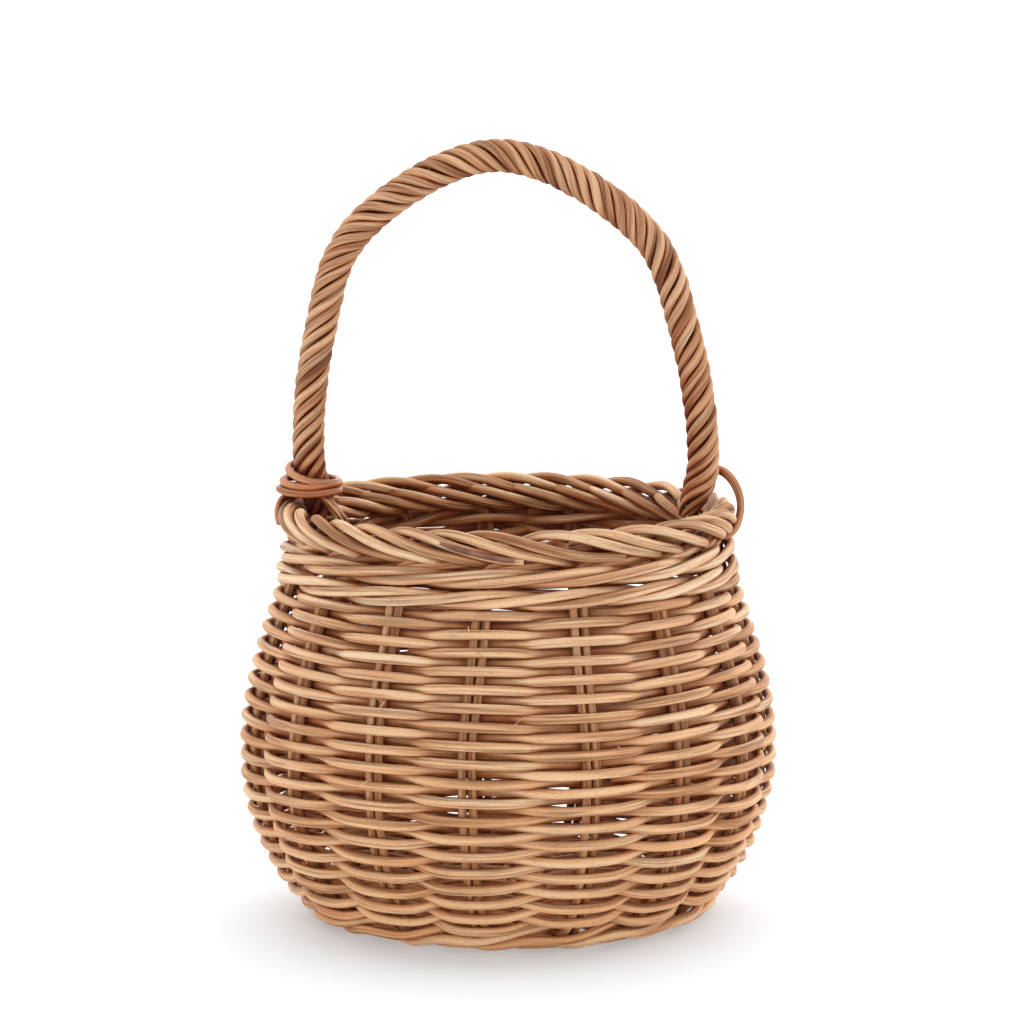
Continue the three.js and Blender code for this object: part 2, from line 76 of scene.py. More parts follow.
camera_data = bpy.data.cameras.new("camera")
camera_data.sensor_width = SENSOR_WIDTH
camera_data.lens = FOCAL_PIXELS * SENSOR_WIDTH / IMAGE_SIDE
camera = add_object("camera", camera_data)
camera.location = (
    CAMERA_TARGET[0],
    -CAMERA_DISTANCE * math.cos(CAMERA_PITCH),
    CAMERA_TARGET[2] + CAMERA_DISTANCE * math.sin(CAMERA_PITCH),
)
camera.rotation_euler = (math.pi / 2 - CAMERA_PITCH, 0, 0)
bpy.context.scene.camera = camera
print("lens:", round(camera_data.lens, 1), "mm")

# %% [markdown]
# ## The wall's profile
# Every rod in the wall is placed by two numbers: the angle round the basket, and the distance along
# the profile that starts at the middle of the base, goes out to the foot and climbs the wall. It is
# three Bezier curves and a short straight rim, as in the CAD model. As a table it lets NumPy look
# up thousands of places at once.

# %% Profile table
FOOT = (66.4, 5.1)
BELLY = (94.6, 62.5)
NECK = (77.6, 142.0)
RIM = (77.6, 149.2)
CROWN = 9.0
FOOT_HANDLE = 9
BELLY_HANDLE_BELOW, BELLY_HANDLE_ABOVE = 31, 32
NECK_HANDLE = 20
RIM_POINTS = 20


def bezier(p0, p1, p2, p3, count=200):
    t = np.linspace(0, 1, count)[:, None]
    p0, p1, p2, p3 = map(np.array, (p0, p1, p2, p3))
    return ((1 - t) ** 3 * p0 + 3 * (1 - t) ** 2 * t * p1
            + 3 * (1 - t) * t * t * p2 + t ** 3 * p3)


profile = np.vstack([
    bezier((0, CROWN), (FOOT[0] / 3, CROWN), (2 * FOOT[0] / 3, FOOT[1]), FOOT),
    bezier(FOOT, (FOOT[0] + FOOT_HANDLE, FOOT[1]), (BELLY[0], BELLY[1] - BELLY_HANDLE_BELOW),
           BELLY)[1:],
    bezier(BELLY, (BELLY[0], BELLY[1] + BELLY_HANDLE_ABOVE), (NECK[0], NECK[1] - NECK_HANDLE),
           NECK)[1:],
    np.linspace(NECK, RIM, RIM_POINTS)[1:],
])
profile_s = np.concatenate([[0], np.cumsum(np.linalg.norm(np.diff(profile, axis=0), axis=1))])
profile_slope = np.gradient(profile, profile_s, axis=0)
profile_slope /= np.linalg.norm(profile_slope, axis=1)[:, None]
print("profile length to the neck:", round(profile_s[-RIM_POINTS], 2), "mm")


def on_wall(angle, s, out=0.0, slip=0.0):
    """Points at these angles and profile lengths, out from the wall and slipped round it."""
    angle, s, out, slip = np.broadcast_arrays(np.radians(angle), s, out, slip)
    r, z, slope_r, slope_z = (np.interp(s, profile_s, column)
                              for column in (*profile.T, *profile_slope.T))
    r = r + out * slope_z
    return np.stack([r * np.cos(angle) - slip * np.sin(angle),
                     r * np.sin(angle) + slip * np.cos(angle), z - out * slope_r], axis=-1)


# %% [markdown]
# ## Hand-made unevenness
# No two rods of a basket lie alike. `wander` is a smooth wobble of three sine waves whose phases
# come from a seed, so it is the same on every run. It makes stake pairs lean, weavers ride up and
# down, and rods thicker in one place than another. `ease` goes smoothly from 0 to 1 between two
# values, wherever something fades in or out.

# %% Wander, and the lean of the stake pairs
PAIRS = 15
PAIR_ANGLE = 360 / PAIRS
FRONT_PAIR = 11
WEAVE_START_PAIR = 4
WAVES = [(1, 1), (1.73, 0.6), (2.91, 0.4)]
PAIR_LEAN = {8: -1.5, 9: -0.2, 10: 0.1, 12: 0.2, 13: -0.8, 14: -2.2}
OTHER_LEAN, LEAN_SWAY = 0.8, 0.45
LEAN_FROM_S, LEAN_FULL_S = 45, 80
FRONT_PAIR_S = [60, 80, 100, 150, 200, 216]
FRONT_PAIR_LEAN = [0, -1.9, -2.2, -2.7, -0.3, 0]


def wander(position, wavelength, seed):
    phases = np.random.default_rng(seed).uniform(0, 2 * math.pi, len(WAVES))
    turn = 2 * math.pi * np.asarray(position) / wavelength
    return sum(share * np.sin(turn * speed + phase)
               for (speed, share), phase in zip(WAVES, phases)) / 2


def ease(value, low, high):
    share = np.clip((np.asarray(value, float) - low) / (high - low), 0, 1)
    return share * share * (3 - 2 * share)


def pair_lean(pair, s):
    """How many degrees a stake pair stands away from its even place, this far up the wall."""
    if pair == FRONT_PAIR:
        return np.interp(s, FRONT_PAIR_S, FRONT_PAIR_LEAN)
    lean = PAIR_LEAN.get(pair, OTHER_LEAN * wander(pair, 2.6, 5))
    return ease(s, LEAN_FROM_S, LEAN_FULL_S) * (lean + LEAN_SWAY * wander(s, 150, 40 + pair))


def weave_angle(t, s):
    """Angle of a weaver that has passed t pairs: it follows the pairs where they lean."""
    t, s = np.broadcast_arrays(np.asarray(t, float), s)
    low = np.floor(t).astype(int)
    leans = np.stack([pair_lean(pair, s) for pair in range(PAIRS)])
    index = np.arange(len(t))
    a = leans[(WEAVE_START_PAIR + low) % PAIRS, index]
    b = leans[(WEAVE_START_PAIR + low + 1) % PAIRS, index]
    return (WEAVE_START_PAIR + t) * PAIR_ANGLE + a + (b - a) * ease(t - low, 0, 1)


print("front pair leans", round(float(pair_lean(FRONT_PAIR, 150)), 2), "degrees")

# %% [markdown]
# ## From a route to a rod
# A route is a list of points along the middle of a rod. `smooth` draws a curve through a few
# points, and `make_rod` sweeps a twelve-sided ring along it. A bevelled curve object would be
# shorter, but a mesh swept here can be flattened where rods press together, have real cut ends, and
# carry what the materials need: where each point lies in the rod's own straight wood, and a random
# number for the rod.

# %% Smooth a route through points
def smooth(points, per_span=12):
    """A centripetal Catmull-Rom curve through the points."""
    points = np.asarray(points, float)
    p = np.vstack([2 * points[0] - points[1], points, 2 * points[-1] - points[-2]])
    t = np.linspace(0, 1, per_span, endpoint=False)[:, None]
    spans = []
    for p0, p1, p2, p3 in zip(p, p[1:], p[2:], p[3:]):
        d0, d1, d2 = (max(np.linalg.norm(b - a), 1e-9) ** 0.5
                      for a, b in ((p0, p1), (p1, p2), (p2, p3)))
        m1 = ((p1 - p0) / d0 - (p2 - p0) / (d0 + d1) + (p2 - p1) / d1) * d1
        m2 = ((p2 - p1) / d1 - (p3 - p1) / (d1 + d2) + (p3 - p2) / d2) * d1
        spans.append((2 * t ** 3 - 3 * t ** 2 + 1) * p1 + (t ** 3 - 2 * t ** 2 + t) * m1
                     + (3 * t ** 2 - 2 * t ** 3) * p2 + (t ** 3 - t ** 2) * m2)
    return np.vstack([*spans, points[-1:]])


def evenly(route, step, *extras):
    """The route again with points a step apart, and its extra columns at the same places."""
    along = np.concatenate([[0], np.cumsum(np.linalg.norm(np.diff(route, axis=0), axis=1))])
    at = np.linspace(0, along[-1], max(5, int(round(along[-1] / step)) + 1))
    tables = [route] + [np.asarray(extra, float).reshape(len(route), -1) for extra in extras]
    return at, [np.stack([np.interp(at, along, column) for column in table.T], axis=1)
                for table in tables]


# %% Frames along a rod
def unit(vectors):
    return vectors / np.maximum(np.linalg.norm(vectors, axis=-1, keepdims=True), 1e-12)


def ring_frames(centres, side=None):
    """The way along the rod and two directions across it at each ring. Without a side, the first
    of the two is carried along untwisted."""
    tangent = unit(np.gradient(centres, axis=0))
    if side is None:
        side = np.zeros_like(centres)
        start = np.cross(tangent[0], (0, 0, 1))
        nearly_upright = np.linalg.norm(start) <= 0.2
        carried = unit(np.cross(tangent[0], (0, 1, 0)) if nearly_upright else start)
        for k in range(len(centres)):
            carried = unit(carried - tangent[k] * np.dot(carried, tangent[k]))
            side[k] = carried
    else:
        side = unit(side - tangent * np.sum(side * tangent, axis=1, keepdims=True))
    return tangent, side, np.cross(tangent, side)


# %% [markdown]
# ## Rod ends
# A cut end is nearly flat and shows the pale pith; a worn end is a small dome; a splinter tapers to
# a point. Each kind is a short list of rings, how far beyond the rod's last full ring and how wide,
# and then how far out its tip is, all as shares of the rod's radius.

# %% Make one rod
RING_SIDES = 12
ENDS = {
    "cut": ([(0.14, 0.93)], 0.16),
    "round": ([(0.3, 0.93), (0.6, 0.74), (0.82, 0.45)], 0.92),
    "point": ([(2.0, 0.7), (4.5, 0.35)], 6.0),
}
ROUGH = 0.03
PRESSED_TALLER = 0.6
COS = np.cos(np.arange(RING_SIDES) * 2 * math.pi / RING_SIDES)
SIN = np.sin(np.arange(RING_SIDES) * 2 * math.pi / RING_SIDES)


def make_rod(route, radius, seed, side=None, step=1.9, press=1.0, ends=("cut", "cut")):
    """A rod along the route. press below 1 flattens it along its side direction."""
    radius, press = (np.broadcast_to(np.asarray(v, float), len(route)) for v in (radius, press))
    extras = [radius, press] + ([] if side is None else [side])
    along, (centres, radius, press, *rest) = evenly(route, step, *extras)
    tangent, side_dir, up_dir = ring_frames(centres, rest[0] if rest else None)
    radius = radius[:, 0] * (1 + ROUGH * wander(along, 47, seed))
    press = press[:, 0]
    caps, tips = [], []
    for last, sign, kind in ((0, -1, ends[0]), (-1, 1, ends[1])):
        cap, tip = ENDS[kind]
        caps.append([(last, sign * far * radius[last], wide) for far, wide in cap])
        tips.append((last, sign * tip * radius[last]))
    order = caps[0][::-1] + [(k, 0.0, 1.0) for k in range(len(centres))] + caps[1]
    index, shift, wide = (np.array(column) for column in zip(*order))
    index = index % len(centres)
    wide = wide * radius[index]
    middle = centres[index] + tangent[index] * shift[:, None]
    flat = (wide * press[index])[:, None] * COS
    tall = (wide / press[index] ** PRESSED_TALLER)[:, None] * SIN
    verts = (middle[:, None] + flat[..., None] * side_dir[index][:, None]
             + tall[..., None] * up_dir[index][:, None])
    lengthwise = np.broadcast_to((along[index] + shift)[:, None], flat.shape)
    grain = np.stack([lengthwise, flat, tall], axis=-1)
    tip_points = [centres[last] + tangent[last] * far for last, far in tips]
    tip_grain = [[along[last] + far, 0, 0] for last, far in tips]
    return {
        "rings": len(order), "verts": np.vstack([verts.reshape(-1, 3), tip_points]),
        "grain": np.vstack([grain.reshape(-1, 3), tip_grain]), "seed": seed,
        "length": along[-1], "radius": float(radius.mean()),
        "cut": [kind == "cut" for kind in ends],
    }


# %% [markdown]
# ## From rods to one object
# A piece can hold several rods, such as all the loose splinters. Their faces are joined into one
# mesh, with smooth shading except on cut ends, which take the pith material from the second slot.
# For the UV map the long rod is unrolled into a ribbon, and the ribbon is laid in strips side by
# side until it fills a square, so a baked texture spends its pixels evenly along it.

# %% Build a piece from rods
UV_MARGIN, UV_SPAN = 0.04, 0.92
CHANCE_SEED = 900
built = []


def store(mesh, name, kind, field, parts):
    """Keep one value for each vertex in the mesh, where the materials can read it."""
    values = np.concatenate(parts).ravel()
    mesh.attributes.new(name, kind, "POINT").data.foreach_set(field, values)


def build_piece(name, rods, finish, stands_for=()):
    length = sum(rod["length"] for rod in rods)
    girth = 2 * math.pi * max(rod["radius"] for rod in rods)
    strips = max(1, round(math.sqrt(length / girth)))
    per_strip = math.ceil(sum(rod["rings"] + 1 for rod in rods) / strips)
    column = np.arange(RING_SIDES)
    following = (column + 1) % RING_SIDES
    faces, corners, cut_faces, base = [], [], [], 0

    def place():
        """Where the next row of faces lies in the map: its start and end, and its sides."""
        strip, local = divmod(len(corners), per_strip)
        sides = ((strip + UV_MARGIN + UV_SPAN * edge / RING_SIDES) / strips
                 for edge in (column, column + 1))
        return local / per_strip, (local + 1) / per_strip, *sides

    def add(points, uvs):
        faces.extend(np.stack(np.broadcast_arrays(*points), axis=1).tolist())
        corners.append(np.stack(np.broadcast_arrays(*uvs), axis=1).ravel())

    for rod in rods:
        tip = base + rod["rings"] * RING_SIDES
        for a in range(base, tip - RING_SIDES, RING_SIDES):
            b = a + RING_SIDES
            u0, u1, v0, v1 = place()
            add((a + column, a + following, b + following, b + column),
                (u0, v0, u0, v1, u1, v1, u1, v0))
        for end, ring in ((0, base), (1, tip - RING_SIDES)):
            first = len(faces)
            u0, u1, v0, v1 = place()
            a, b, va, vb = (following, column, v1, v0) if end == 0 else (column, following, v0, v1)
            add((ring + a, ring + b, tip + end), (u0, va, u0, vb, u1, (v0 + v1) / 2))
            if rod["cut"][end]:
                cut_faces.extend(range(first, len(faces)))
        base += len(rod["verts"])

    mesh = bpy.data.meshes.new(name)
    mesh.from_pydata((np.vstack([rod["verts"] for rod in rods]) * MM).tolist(), [], faces)
    mesh.uv_layers.new(name="OFBake").data.foreach_set("uv", np.concatenate(corners))
    store(mesh, "rod_grain", "FLOAT_VECTOR", "vector", [rod["grain"] for rod in rods])
    store(mesh, "rod_chance", "FLOAT", "value", [
        np.full(len(rod["verts"]), np.random.default_rng(rod["seed"] + CHANCE_SEED).random())
        for rod in rods])
    is_smooth = np.ones(len(faces), bool)
    is_smooth[cut_faces] = False
    mesh.polygons.foreach_set("use_smooth", is_smooth)
    mesh.polygons.foreach_set("material_index", (~is_smooth).astype(int))
    mesh.materials.append(finish)
    mesh.materials.append(pith)
    mesh.update()
    piece = add_object(name, mesh)
    built.append((piece, [rod["rings"] for rod in rods]))
    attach(piece, "root")
    if stands_for:
        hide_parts(*stands_for)
    print(name, round(length), "mm")


# %% [markdown]
# ## Shader building blocks
# `put` adds a node and fills its inputs in one line: a value is set on the socket, and another
# node's output is linked to it. The helpers below it add the kinds that are needed often and give
# back their one output. `srgb` turns the colours that a colour picker shows into the linear ones
# that Blender works in.

# %% Node helpers
NODES_ACROSS = 8
NODE_STEP = (220, -260)
WHITE = (1, 1, 1, 1)


def put(tree, kind, inputs=None, **settings):
    node = tree.nodes.new(kind)
    down, across = divmod(len(tree.nodes), NODES_ACROSS)
    node.location = (NODE_STEP[0] * across, NODE_STEP[1] * down)
    for name, value in settings.items():
        setattr(node, name, value)
    for name, value in (inputs or {}).items():
        if isinstance(value, bpy.types.NodeSocket):
            tree.links.new(value, node.inputs[name])
        else:
            node.inputs[name].default_value = value
    return node


def calculate(tree, operation, *values):
    return put(tree, "ShaderNodeMath", dict(enumerate(values)), operation=operation).outputs[0]


def remap(tree, value, from_min, from_max, to_min=0.0, to_max=1.0):
    """The value stretched from one range to another and kept inside it."""
    return put(tree, "ShaderNodeMapRange", {
        "Value": value, "From Min": from_min, "From Max": from_max,
        "To Min": to_min, "To Max": to_max}).outputs[0]


def blend(tree, share, first, second, kind="MIX"):
    """The first colour turned towards the second, or multiplied by it, by this share."""
    return put(tree, "ShaderNodeMix", {0: share, 6: first, 7: second},
               data_type="RGBA", blend_type=kind).outputs[2]


def noise(tree, place, scale, detail):
    inputs = {"Vector": place, "Scale": scale, "Detail": detail}
    return put(tree, "ShaderNodeTexNoise", inputs).outputs["Fac"]


def own_wood(tree, given, spread, along, across):
    """Where a point lies in the rod's own straight wood, moved by the rod's random number so that
    every rod reads another part of a texture, and scaled along and across."""
    scale = put(tree, "ShaderNodeCombineXYZ", {"X": along, "Y": across, "Z": across}).outputs[0]
    place = given["Chance"]
    for operation, value in (("MULTIPLY", spread), ("ADD", given["Grain"]), ("MULTIPLY", scale)):
        place = put(tree, "ShaderNodeVectorMath", {0: place, 1: value},
                    operation=operation).outputs[0]
    return place


def srgb(red, green, blue):
    def linear(c):
        c /= 255
        return c / 12.92 if c <= 0.04045 else ((c + 0.055) / 1.055) ** 2.4
    return (linear(red), linear(green), linear(blue), 1.0)


def new_group(name, inputs, outputs):
    """An empty node group with its sockets, and the two nodes that stand for them."""
    tree = bpy.data.node_groups.new(name, "ShaderNodeTree")
    for socket, (kind, default) in inputs.items():
        item = tree.interface.new_socket(name=socket, in_out="INPUT", socket_type=kind)
        if default is not None:
            item.default_value = default
    for socket, kind in outputs.items():
        tree.interface.new_socket(name=socket, in_out="OUTPUT", socket_type=kind)
    return (tree, tree.nodes.new("NodeGroupInput").outputs,
            tree.nodes.new("NodeGroupOutput").inputs)


def finish_group(tree, result, **outputs):
    for name, output in outputs.items():
        tree.links.new(output, result[name])
    print("group", tree.name, "with", len(tree.nodes), "nodes")


# %% [markdown]
# ## Rattan fibres
# Rattan is a vine: its wood is a bundle of fine tubes that run the whole length of the rod, so its
# surface is finely ridged along the rod and never across it. A solid noise texture in the rod's own
# straight coordinates, stretched almost forty times along the length, gives those ridges without a
# seam. It is used twice, fine for the ridges and broad for streaks of colour.

# %% Fibre group
VALUE, VECTOR, COLOR = "NodeSocketFloat", "NodeSocketVector", "NodeSocketColor"
ROD_INPUTS = {"Grain": (VECTOR, None), "Chance": (VALUE, 0.5)}
BROAD_SCALE = 0.27
FINE_SHARE = 0.7

fibres, given, result = new_group(
    "rattan_fibres",
    {**ROD_INPUTS, "Fibre Width": (VALUE, 0.3), "Fibre Length": (VALUE, 12.0)},
    {"Ridges": VALUE, "Streaks": VALUE},
)
per_length = calculate(fibres, "DIVIDE", 1.0, given["Fibre Length"])
per_width = calculate(fibres, "DIVIDE", 1.0, given["Fibre Width"])
wood = own_wood(fibres, given, (613, 271, 159), per_length, per_width)
fine = noise(fibres, wood, 1.0, 2.0)
broad = noise(fibres, wood, BROAD_SCALE, 1.5)
ridges = calculate(fibres, "MULTIPLY_ADD", fine, FINE_SHARE, broad)
finish_group(fibres, result, Ridges=ridges, Streaks=broad)

# %% [markdown]
# ## Rattan tone
# Cleaned rattan is straw coloured and shades slowly between pale, honey and brown, with redder
# stretches where some skin was left. The group mixes four colours by two slow noises along the rod.
# A share of the rod's own random number makes one rod paler than its neighbour all along. Towards
# the foot everything turns a little browner.

# %% Tone group
ACROSS_SCALE = 0.22
STREAK_SHARE, OWN_SHARE = 0.38, 0.2
RED_SCALE = 2.3
FOOT_TINT_UP_TO = 110 * MM
FOOT_TINT = (0.98, 0.835, 0.69, 1)

tone, given, result = new_group(
    "rattan_tone",
    {**ROD_INPUTS, "Streaks": (VALUE, 0.5), "Brown": (COLOR, None), "Honey": (COLOR, None),
     "Pale": (COLOR, None), "Red": (COLOR, None), "Red Share": (VALUE, 0.5),
     "Stretch": (VALUE, 70.0), "Height": (VALUE, 0.1)},
    {"Color": COLOR},
)
per_stretch = calculate(tone, "DIVIDE", 1.0, given["Stretch"])
wood = own_wood(tone, given, (9170, 33, 71), per_stretch, ACROSS_SCALE)
slow = noise(tone, wood, 1.0, 2.5)
shading = calculate(tone, "MULTIPLY_ADD", given["Streaks"], STREAK_SHARE, slow)
shading = calculate(tone, "MULTIPLY_ADD", given["Chance"], OWN_SHARE, shading)
color = blend(tone, remap(tone, shading, 0.58, 0.78), given["Brown"], given["Honey"])
color = blend(tone, remap(tone, shading, 0.76, 1.02), color, given["Pale"])
reddish = remap(tone, noise(tone, wood, RED_SCALE, 1.0), 0.5, 0.68)
color = blend(tone, calculate(tone, "MULTIPLY", reddish, given["Red Share"]), color, given["Red"])
towards_foot = remap(tone, given["Height"], 0.0, FOOT_TINT_UP_TO, 1.0, 0.0)
color = blend(tone, towards_foot, color, FOOT_TINT, "MULTIPLY")
finish_group(tone, result, Color=color)

# %% [markdown]
# ## Specks
# Here and there a dark pore or a crumb of old skin sits between the fibres: a noise cut off near
# its top, short across the rod and a few times longer along it.

# %% Speck group
SPECKS_ALONG, SPECKS_ACROSS = 0.75, 2.3

specks, given, result = new_group("rattan_specks", {**ROD_INPUTS, "Amount": (VALUE, 0.5)},
                                  {"Mask": VALUE})
wood = own_wood(specks, given, (411, 97, 53), SPECKS_ALONG, SPECKS_ACROSS)
crumbs = remap(specks, noise(specks, wood, 1.0, 1.0), 0.63, 0.74)
finish_group(specks, result, Mask=calculate(specks, "MULTIPLY", crumbs, given["Amount"]))

# %% [markdown]
# ## Shade between the rods
# In the narrow places between rods, and on the inside of the basket, the colour is painted darker
# and redder: this is painted shade, where less light reaches. A number stored in every vertex and
# measured further down is 0 in the open and 1 deep between rods. The group tints the colour by it:
# warm brown first, then dark where rods touch.

# %% Painted shade group
# Colours of the painted shade: warm brown in shallow places, dark where rods touch.
WARM_PAINTED_SHADE = (0.78, 0.48, 0.29, 1)
DARK_PAINTED_SHADE = (0.24, 0.06, 0.016, 1)

painted_shade_group, given, result = new_group(
    "rattan_painted_shade",
    {"Color": (COLOR, None), "Painted Shade": (VALUE, 0.0), "Depth": (VALUE, 1.0)},
    {"Color": COLOR},
)
deep = calculate(painted_shade_group, "MULTIPLY", given["Painted Shade"], given["Depth"])
shade_tint = blend(painted_shade_group, remap(painted_shade_group, deep, 0.28, 0.7), WHITE, WARM_PAINTED_SHADE)
shade_tint = blend(painted_shade_group, remap(painted_shade_group, deep, 0.54, 0.95), shade_tint, DARK_PAINTED_SHADE)
finish_group(painted_shade_group, result, Color=blend(painted_shade_group, 1.0, given["Color"], shade_tint, "MULTIPLY"))

# %% [markdown]
# ## The rattan finishes
# All finishes have the same build: the tone group colours the rods, the valleys between the fibres
# and the specks darken them, painted shade darkens the narrow places between rods, the streaks feed
# the roughness and the ridges a bump. Only the values differ. Weavers are the palest; stakes are a
# little darker; the handle's strands are redder; the lashings are dark red-brown rods with their
# skin still on, smoother and shinier. The painted shade can be weaker low down: `low` gives its
# depth there and the two heights it fades between.

# %% Rattan finish
SPECK_COLOR = srgb(128, 78, 46)
SPECULAR = 0.28
RIDGE_HEIGHT = 0.3 * MM


def rattan_finish(name, brown, honey, pale, red, red_share, stretch=70.0, width=0.32, bump=0.6,
                  gloss=(0.58, 0.8), speck_amount=0.5, depth=1.0, low=None):
    material = bpy.data.materials.new(name)
    material.use_nodes = True
    tree = material.node_tree
    surface = tree.nodes["Principled BSDF"]

    def attribute(name, output="Fac"):
        return put(tree, "ShaderNodeAttribute", attribute_name=name).outputs[output]

    def group(node_tree, inputs):
        return put(tree, "ShaderNodeGroup", inputs, node_tree=node_tree).outputs

    rod = {"Grain": attribute("rod_grain", "Vector"), "Chance": attribute("rod_chance")}
    place = put(tree, "ShaderNodeTexCoord").outputs["Object"]
    height = put(tree, "ShaderNodeSeparateXYZ", {0: place}).outputs["Z"]
    fibre = group(fibres, {**rod, "Fibre Width": width})
    color = group(tone, {
        **rod, "Streaks": fibre["Streaks"], "Height": height, "Brown": srgb(*brown),
        "Honey": srgb(*honey), "Pale": srgb(*pale), "Red": srgb(*red), "Red Share": red_share,
        "Stretch": stretch})["Color"]
    valleys = remap(tree, fibre["Ridges"], 0.6, 0.9, 0.48, 1.1)
    color = blend(tree, 1.0, color, valleys, "MULTIPLY")
    speck = group(specks, {**rod, "Amount": speck_amount})["Mask"]
    color = blend(tree, speck, color, SPECK_COLOR)
    if low is not None:
        low_depth, low_z, high_z = low
        depth = remap(tree, height, low_z * MM, high_z * MM, low_depth, depth)
    # Painted shade: the colour is darkened by the stored occlusion, most where rods touch.
    painted_shade = {"Color": color, "Painted Shade": attribute("rod_painted_shade"), "Depth": depth}
    dull = remap(tree, fibre["Streaks"], 0.3, 0.7, *gloss)
    relief = put(tree, "ShaderNodeBump", {"Height": fibre["Ridges"], "Distance": RIDGE_HEIGHT,
                                          "Strength": bump}).outputs[0]
    tree.links.new(group(painted_shade_group, painted_shade)["Color"], surface.inputs["Base Color"])
    tree.links.new(dull, surface.inputs["Roughness"])
    tree.links.new(relief, surface.inputs["Normal"])
    surface.inputs["Specular IOR Level"].default_value = SPECULAR
    return material


weave_wicker = rattan_finish(
    "weave_wicker", (178, 130, 90), (213, 173, 134), (214, 190, 158), (200, 138, 98), 0.45,
    low=(0.84, 30, 90))
stake_wicker = rattan_finish(
    "stake_wicker", (146, 98, 62), (192, 150, 110), (218, 188, 152), (184, 120, 82), 0.5,
    depth=1.04, low=(0.78, 136, 144))
handle_wicker = rattan_finish(
    "handle_wicker", (134, 84, 52), (185, 140, 103), (200, 162, 126), (152, 92, 62), 0.6,
    depth=1.75, low=(1.15, 148, 168))
lashing_wicker = rattan_finish(
    "lashing_wicker", (130, 72, 40), (168, 108, 72), (194, 138, 98), (152, 84, 52), 0.5,
    gloss=(0.38, 0.55), bump=0.1, speck_amount=0.8)
bark_wicker = rattan_finish(
    "bark_wicker", (94, 56, 42), (124, 82, 64), (160, 120, 98), (106, 66, 52), 0.5,
    stretch=9.0, gloss=(0.45, 0.7), bump=0.3, speck_amount=0.8)
pith = rattan_finish(
    "cut_pith", (150, 118, 88), (188, 160, 126), (214, 192, 160), (150, 110, 80), 0.4,
    stretch=6.0, width=0.25, bump=0.3, gloss=(0.75, 0.9))
print("finishes:", len(bpy.data.materials))

# %% [markdown]
# ## Wall weavers
# One weaver after another is laid in a continuous spiral of 37 turns: in front of one pair of
# stakes, behind the next. Seen from above its route is a wave round the wall. A rattan rod is
# springy, so the wave is rounded with slightly flattened crests, and behind the stakes each rod is
# pressed flat and tall between its neighbours. Further up the wall it also rides a little higher
# there, most at the back.
# The wave could be a chain of points per stake, but a formula keeps all 21 m of it smooth.

# %% Wall weavers
WALL_START = 76.89
WALL_PITCH = 3.2702
WALL_PASSES = 555
WEAVERS = 8
WEAVER_SEED = 100
JOIN_START, JOIN_END = 0.22, 0.1
POINTS_PER_PAIR = 18
WEAVER_RADIUS = 1.7
CREST_FRONT, CREST_BACK = 3.66, -3.5
CREST_FLATTER = 0.1
LEFT_LIMIT = -98.5
SWAY_FADE = 60
LIFT_FROM_S, LIFT_FULL_S = 95, 150
LIFT_FRONT, LIFT_BACK_MORE = 0.45, 0.85
BELLY_S, BELLY_REACH = 116, 20


def sway(angle, s):
    """The rows rise and fall together in slow waves, as a hand-woven wall does."""
    a = np.radians(angle)
    return 0.55 * np.sin(2 * a + s / 23) + 0.35 * np.sin(5 * a - s / 17 + 1.3)


def weaver_route(start, stop, seed):
    """The route, radius, side direction and flatness of a weaver between two passes."""
    t = np.arange(start, stop, 1 / POINTS_PER_PAIR)
    s = WALL_START + WALL_PITCH * t / PAIRS
    angle = weave_angle(t, s)
    wave = (np.cos(math.pi * t) - CREST_FLATTER * np.cos(3 * math.pi * t)) / (1 - CREST_FLATTER)
    crest, hidden = np.clip(-wave, 0, 1), np.clip(wave, 0, 1)
    far_side = np.clip(np.sin(np.radians(angle)) * 1.5, 0, 1)
    out = (CREST_FRONT + CREST_BACK) / 2 - (CREST_FRONT - CREST_BACK) / 2 * wave
    out = out + 0.22 * wander(t, 3.3, seed) - 0.12
    fade = ease(t, 0, SWAY_FADE) * (1 - ease(t, WALL_PASSES - SWAY_FADE, WALL_PASSES))
    lift = fade * sway(angle, s) + 0.14 * wander(t, 9.1, seed + 1)
    lift = lift + (hidden * ease(s, LIFT_FROM_S, LIFT_FULL_S)
                   * (LIFT_FRONT + LIFT_BACK_MORE * far_side))
    route = on_wall(angle, s + lift, out)
    taller = 0.34 + 0.14 * np.exp(-((s - BELLY_S) / BELLY_REACH) ** 2)
    radius = WEAVER_RADIUS + 0.09 * crest + taller * hidden + 0.07 * far_side
    route[:, 0] -= np.minimum(route[:, 0] - radius - LEFT_LIMIT, 0)
    outward = on_wall(angle, s, 1.0) - on_wall(angle, s)
    return route, radius, outward, 1 - 0.03 * crest - 0.13 * hidden


for number in range(WEAVERS):
    first = 2 * round(WALL_PASSES * number / WEAVERS / 2)
    last = min(2 * round(WALL_PASSES * (number + 1) / WEAVERS / 2), WALL_PASSES)
    stop = last + (JOIN_END if number < WEAVERS - 1 else 0)
    seed = WEAVER_SEED + number
    route, radius, side, press = weaver_route(first + JOIN_START, stop, seed)
    rod = make_rod(route, radius, seed, side, press=press)
    build_piece(f"weaver_rod_{number + 1}", [rod], weave_wicker,
                [f"wall_weaver_{number + 1}"])

# %% [markdown]
# ## Wales
# A wale is a row of three rods that take turns: each goes in front of two pairs of stakes and
# behind the third, so the row looks like a thick rope. There are two rounds at the foot, on which
# the basket stands, and two below the border. A few points per stake are enough here: each of
# `WALE_PHASES` says how many pairs on, how far out and how far up.

# %% Wales
WALE_PITCH = 7.1
WALE_START, WALE_STOP = -0.7, 30.3
SCALLOP = 1.1
WALE_RADIUS = 1.74
WALE_PHASES = [(0, -3.7, 0), (0.5, -0.2, -1.8), (1, 4.0, -1.85), (1.5, 4.3, 0), (2, 4.0, 1.85),
               (2.5, 0.2, 1.8)]
BOTTOM_SETTLE, TOP_SETTLE = (0.1, 0.75), (0.95, 0.55)
WALES = {"bottom": (64.37, 208), "top": (203.4, 223)}


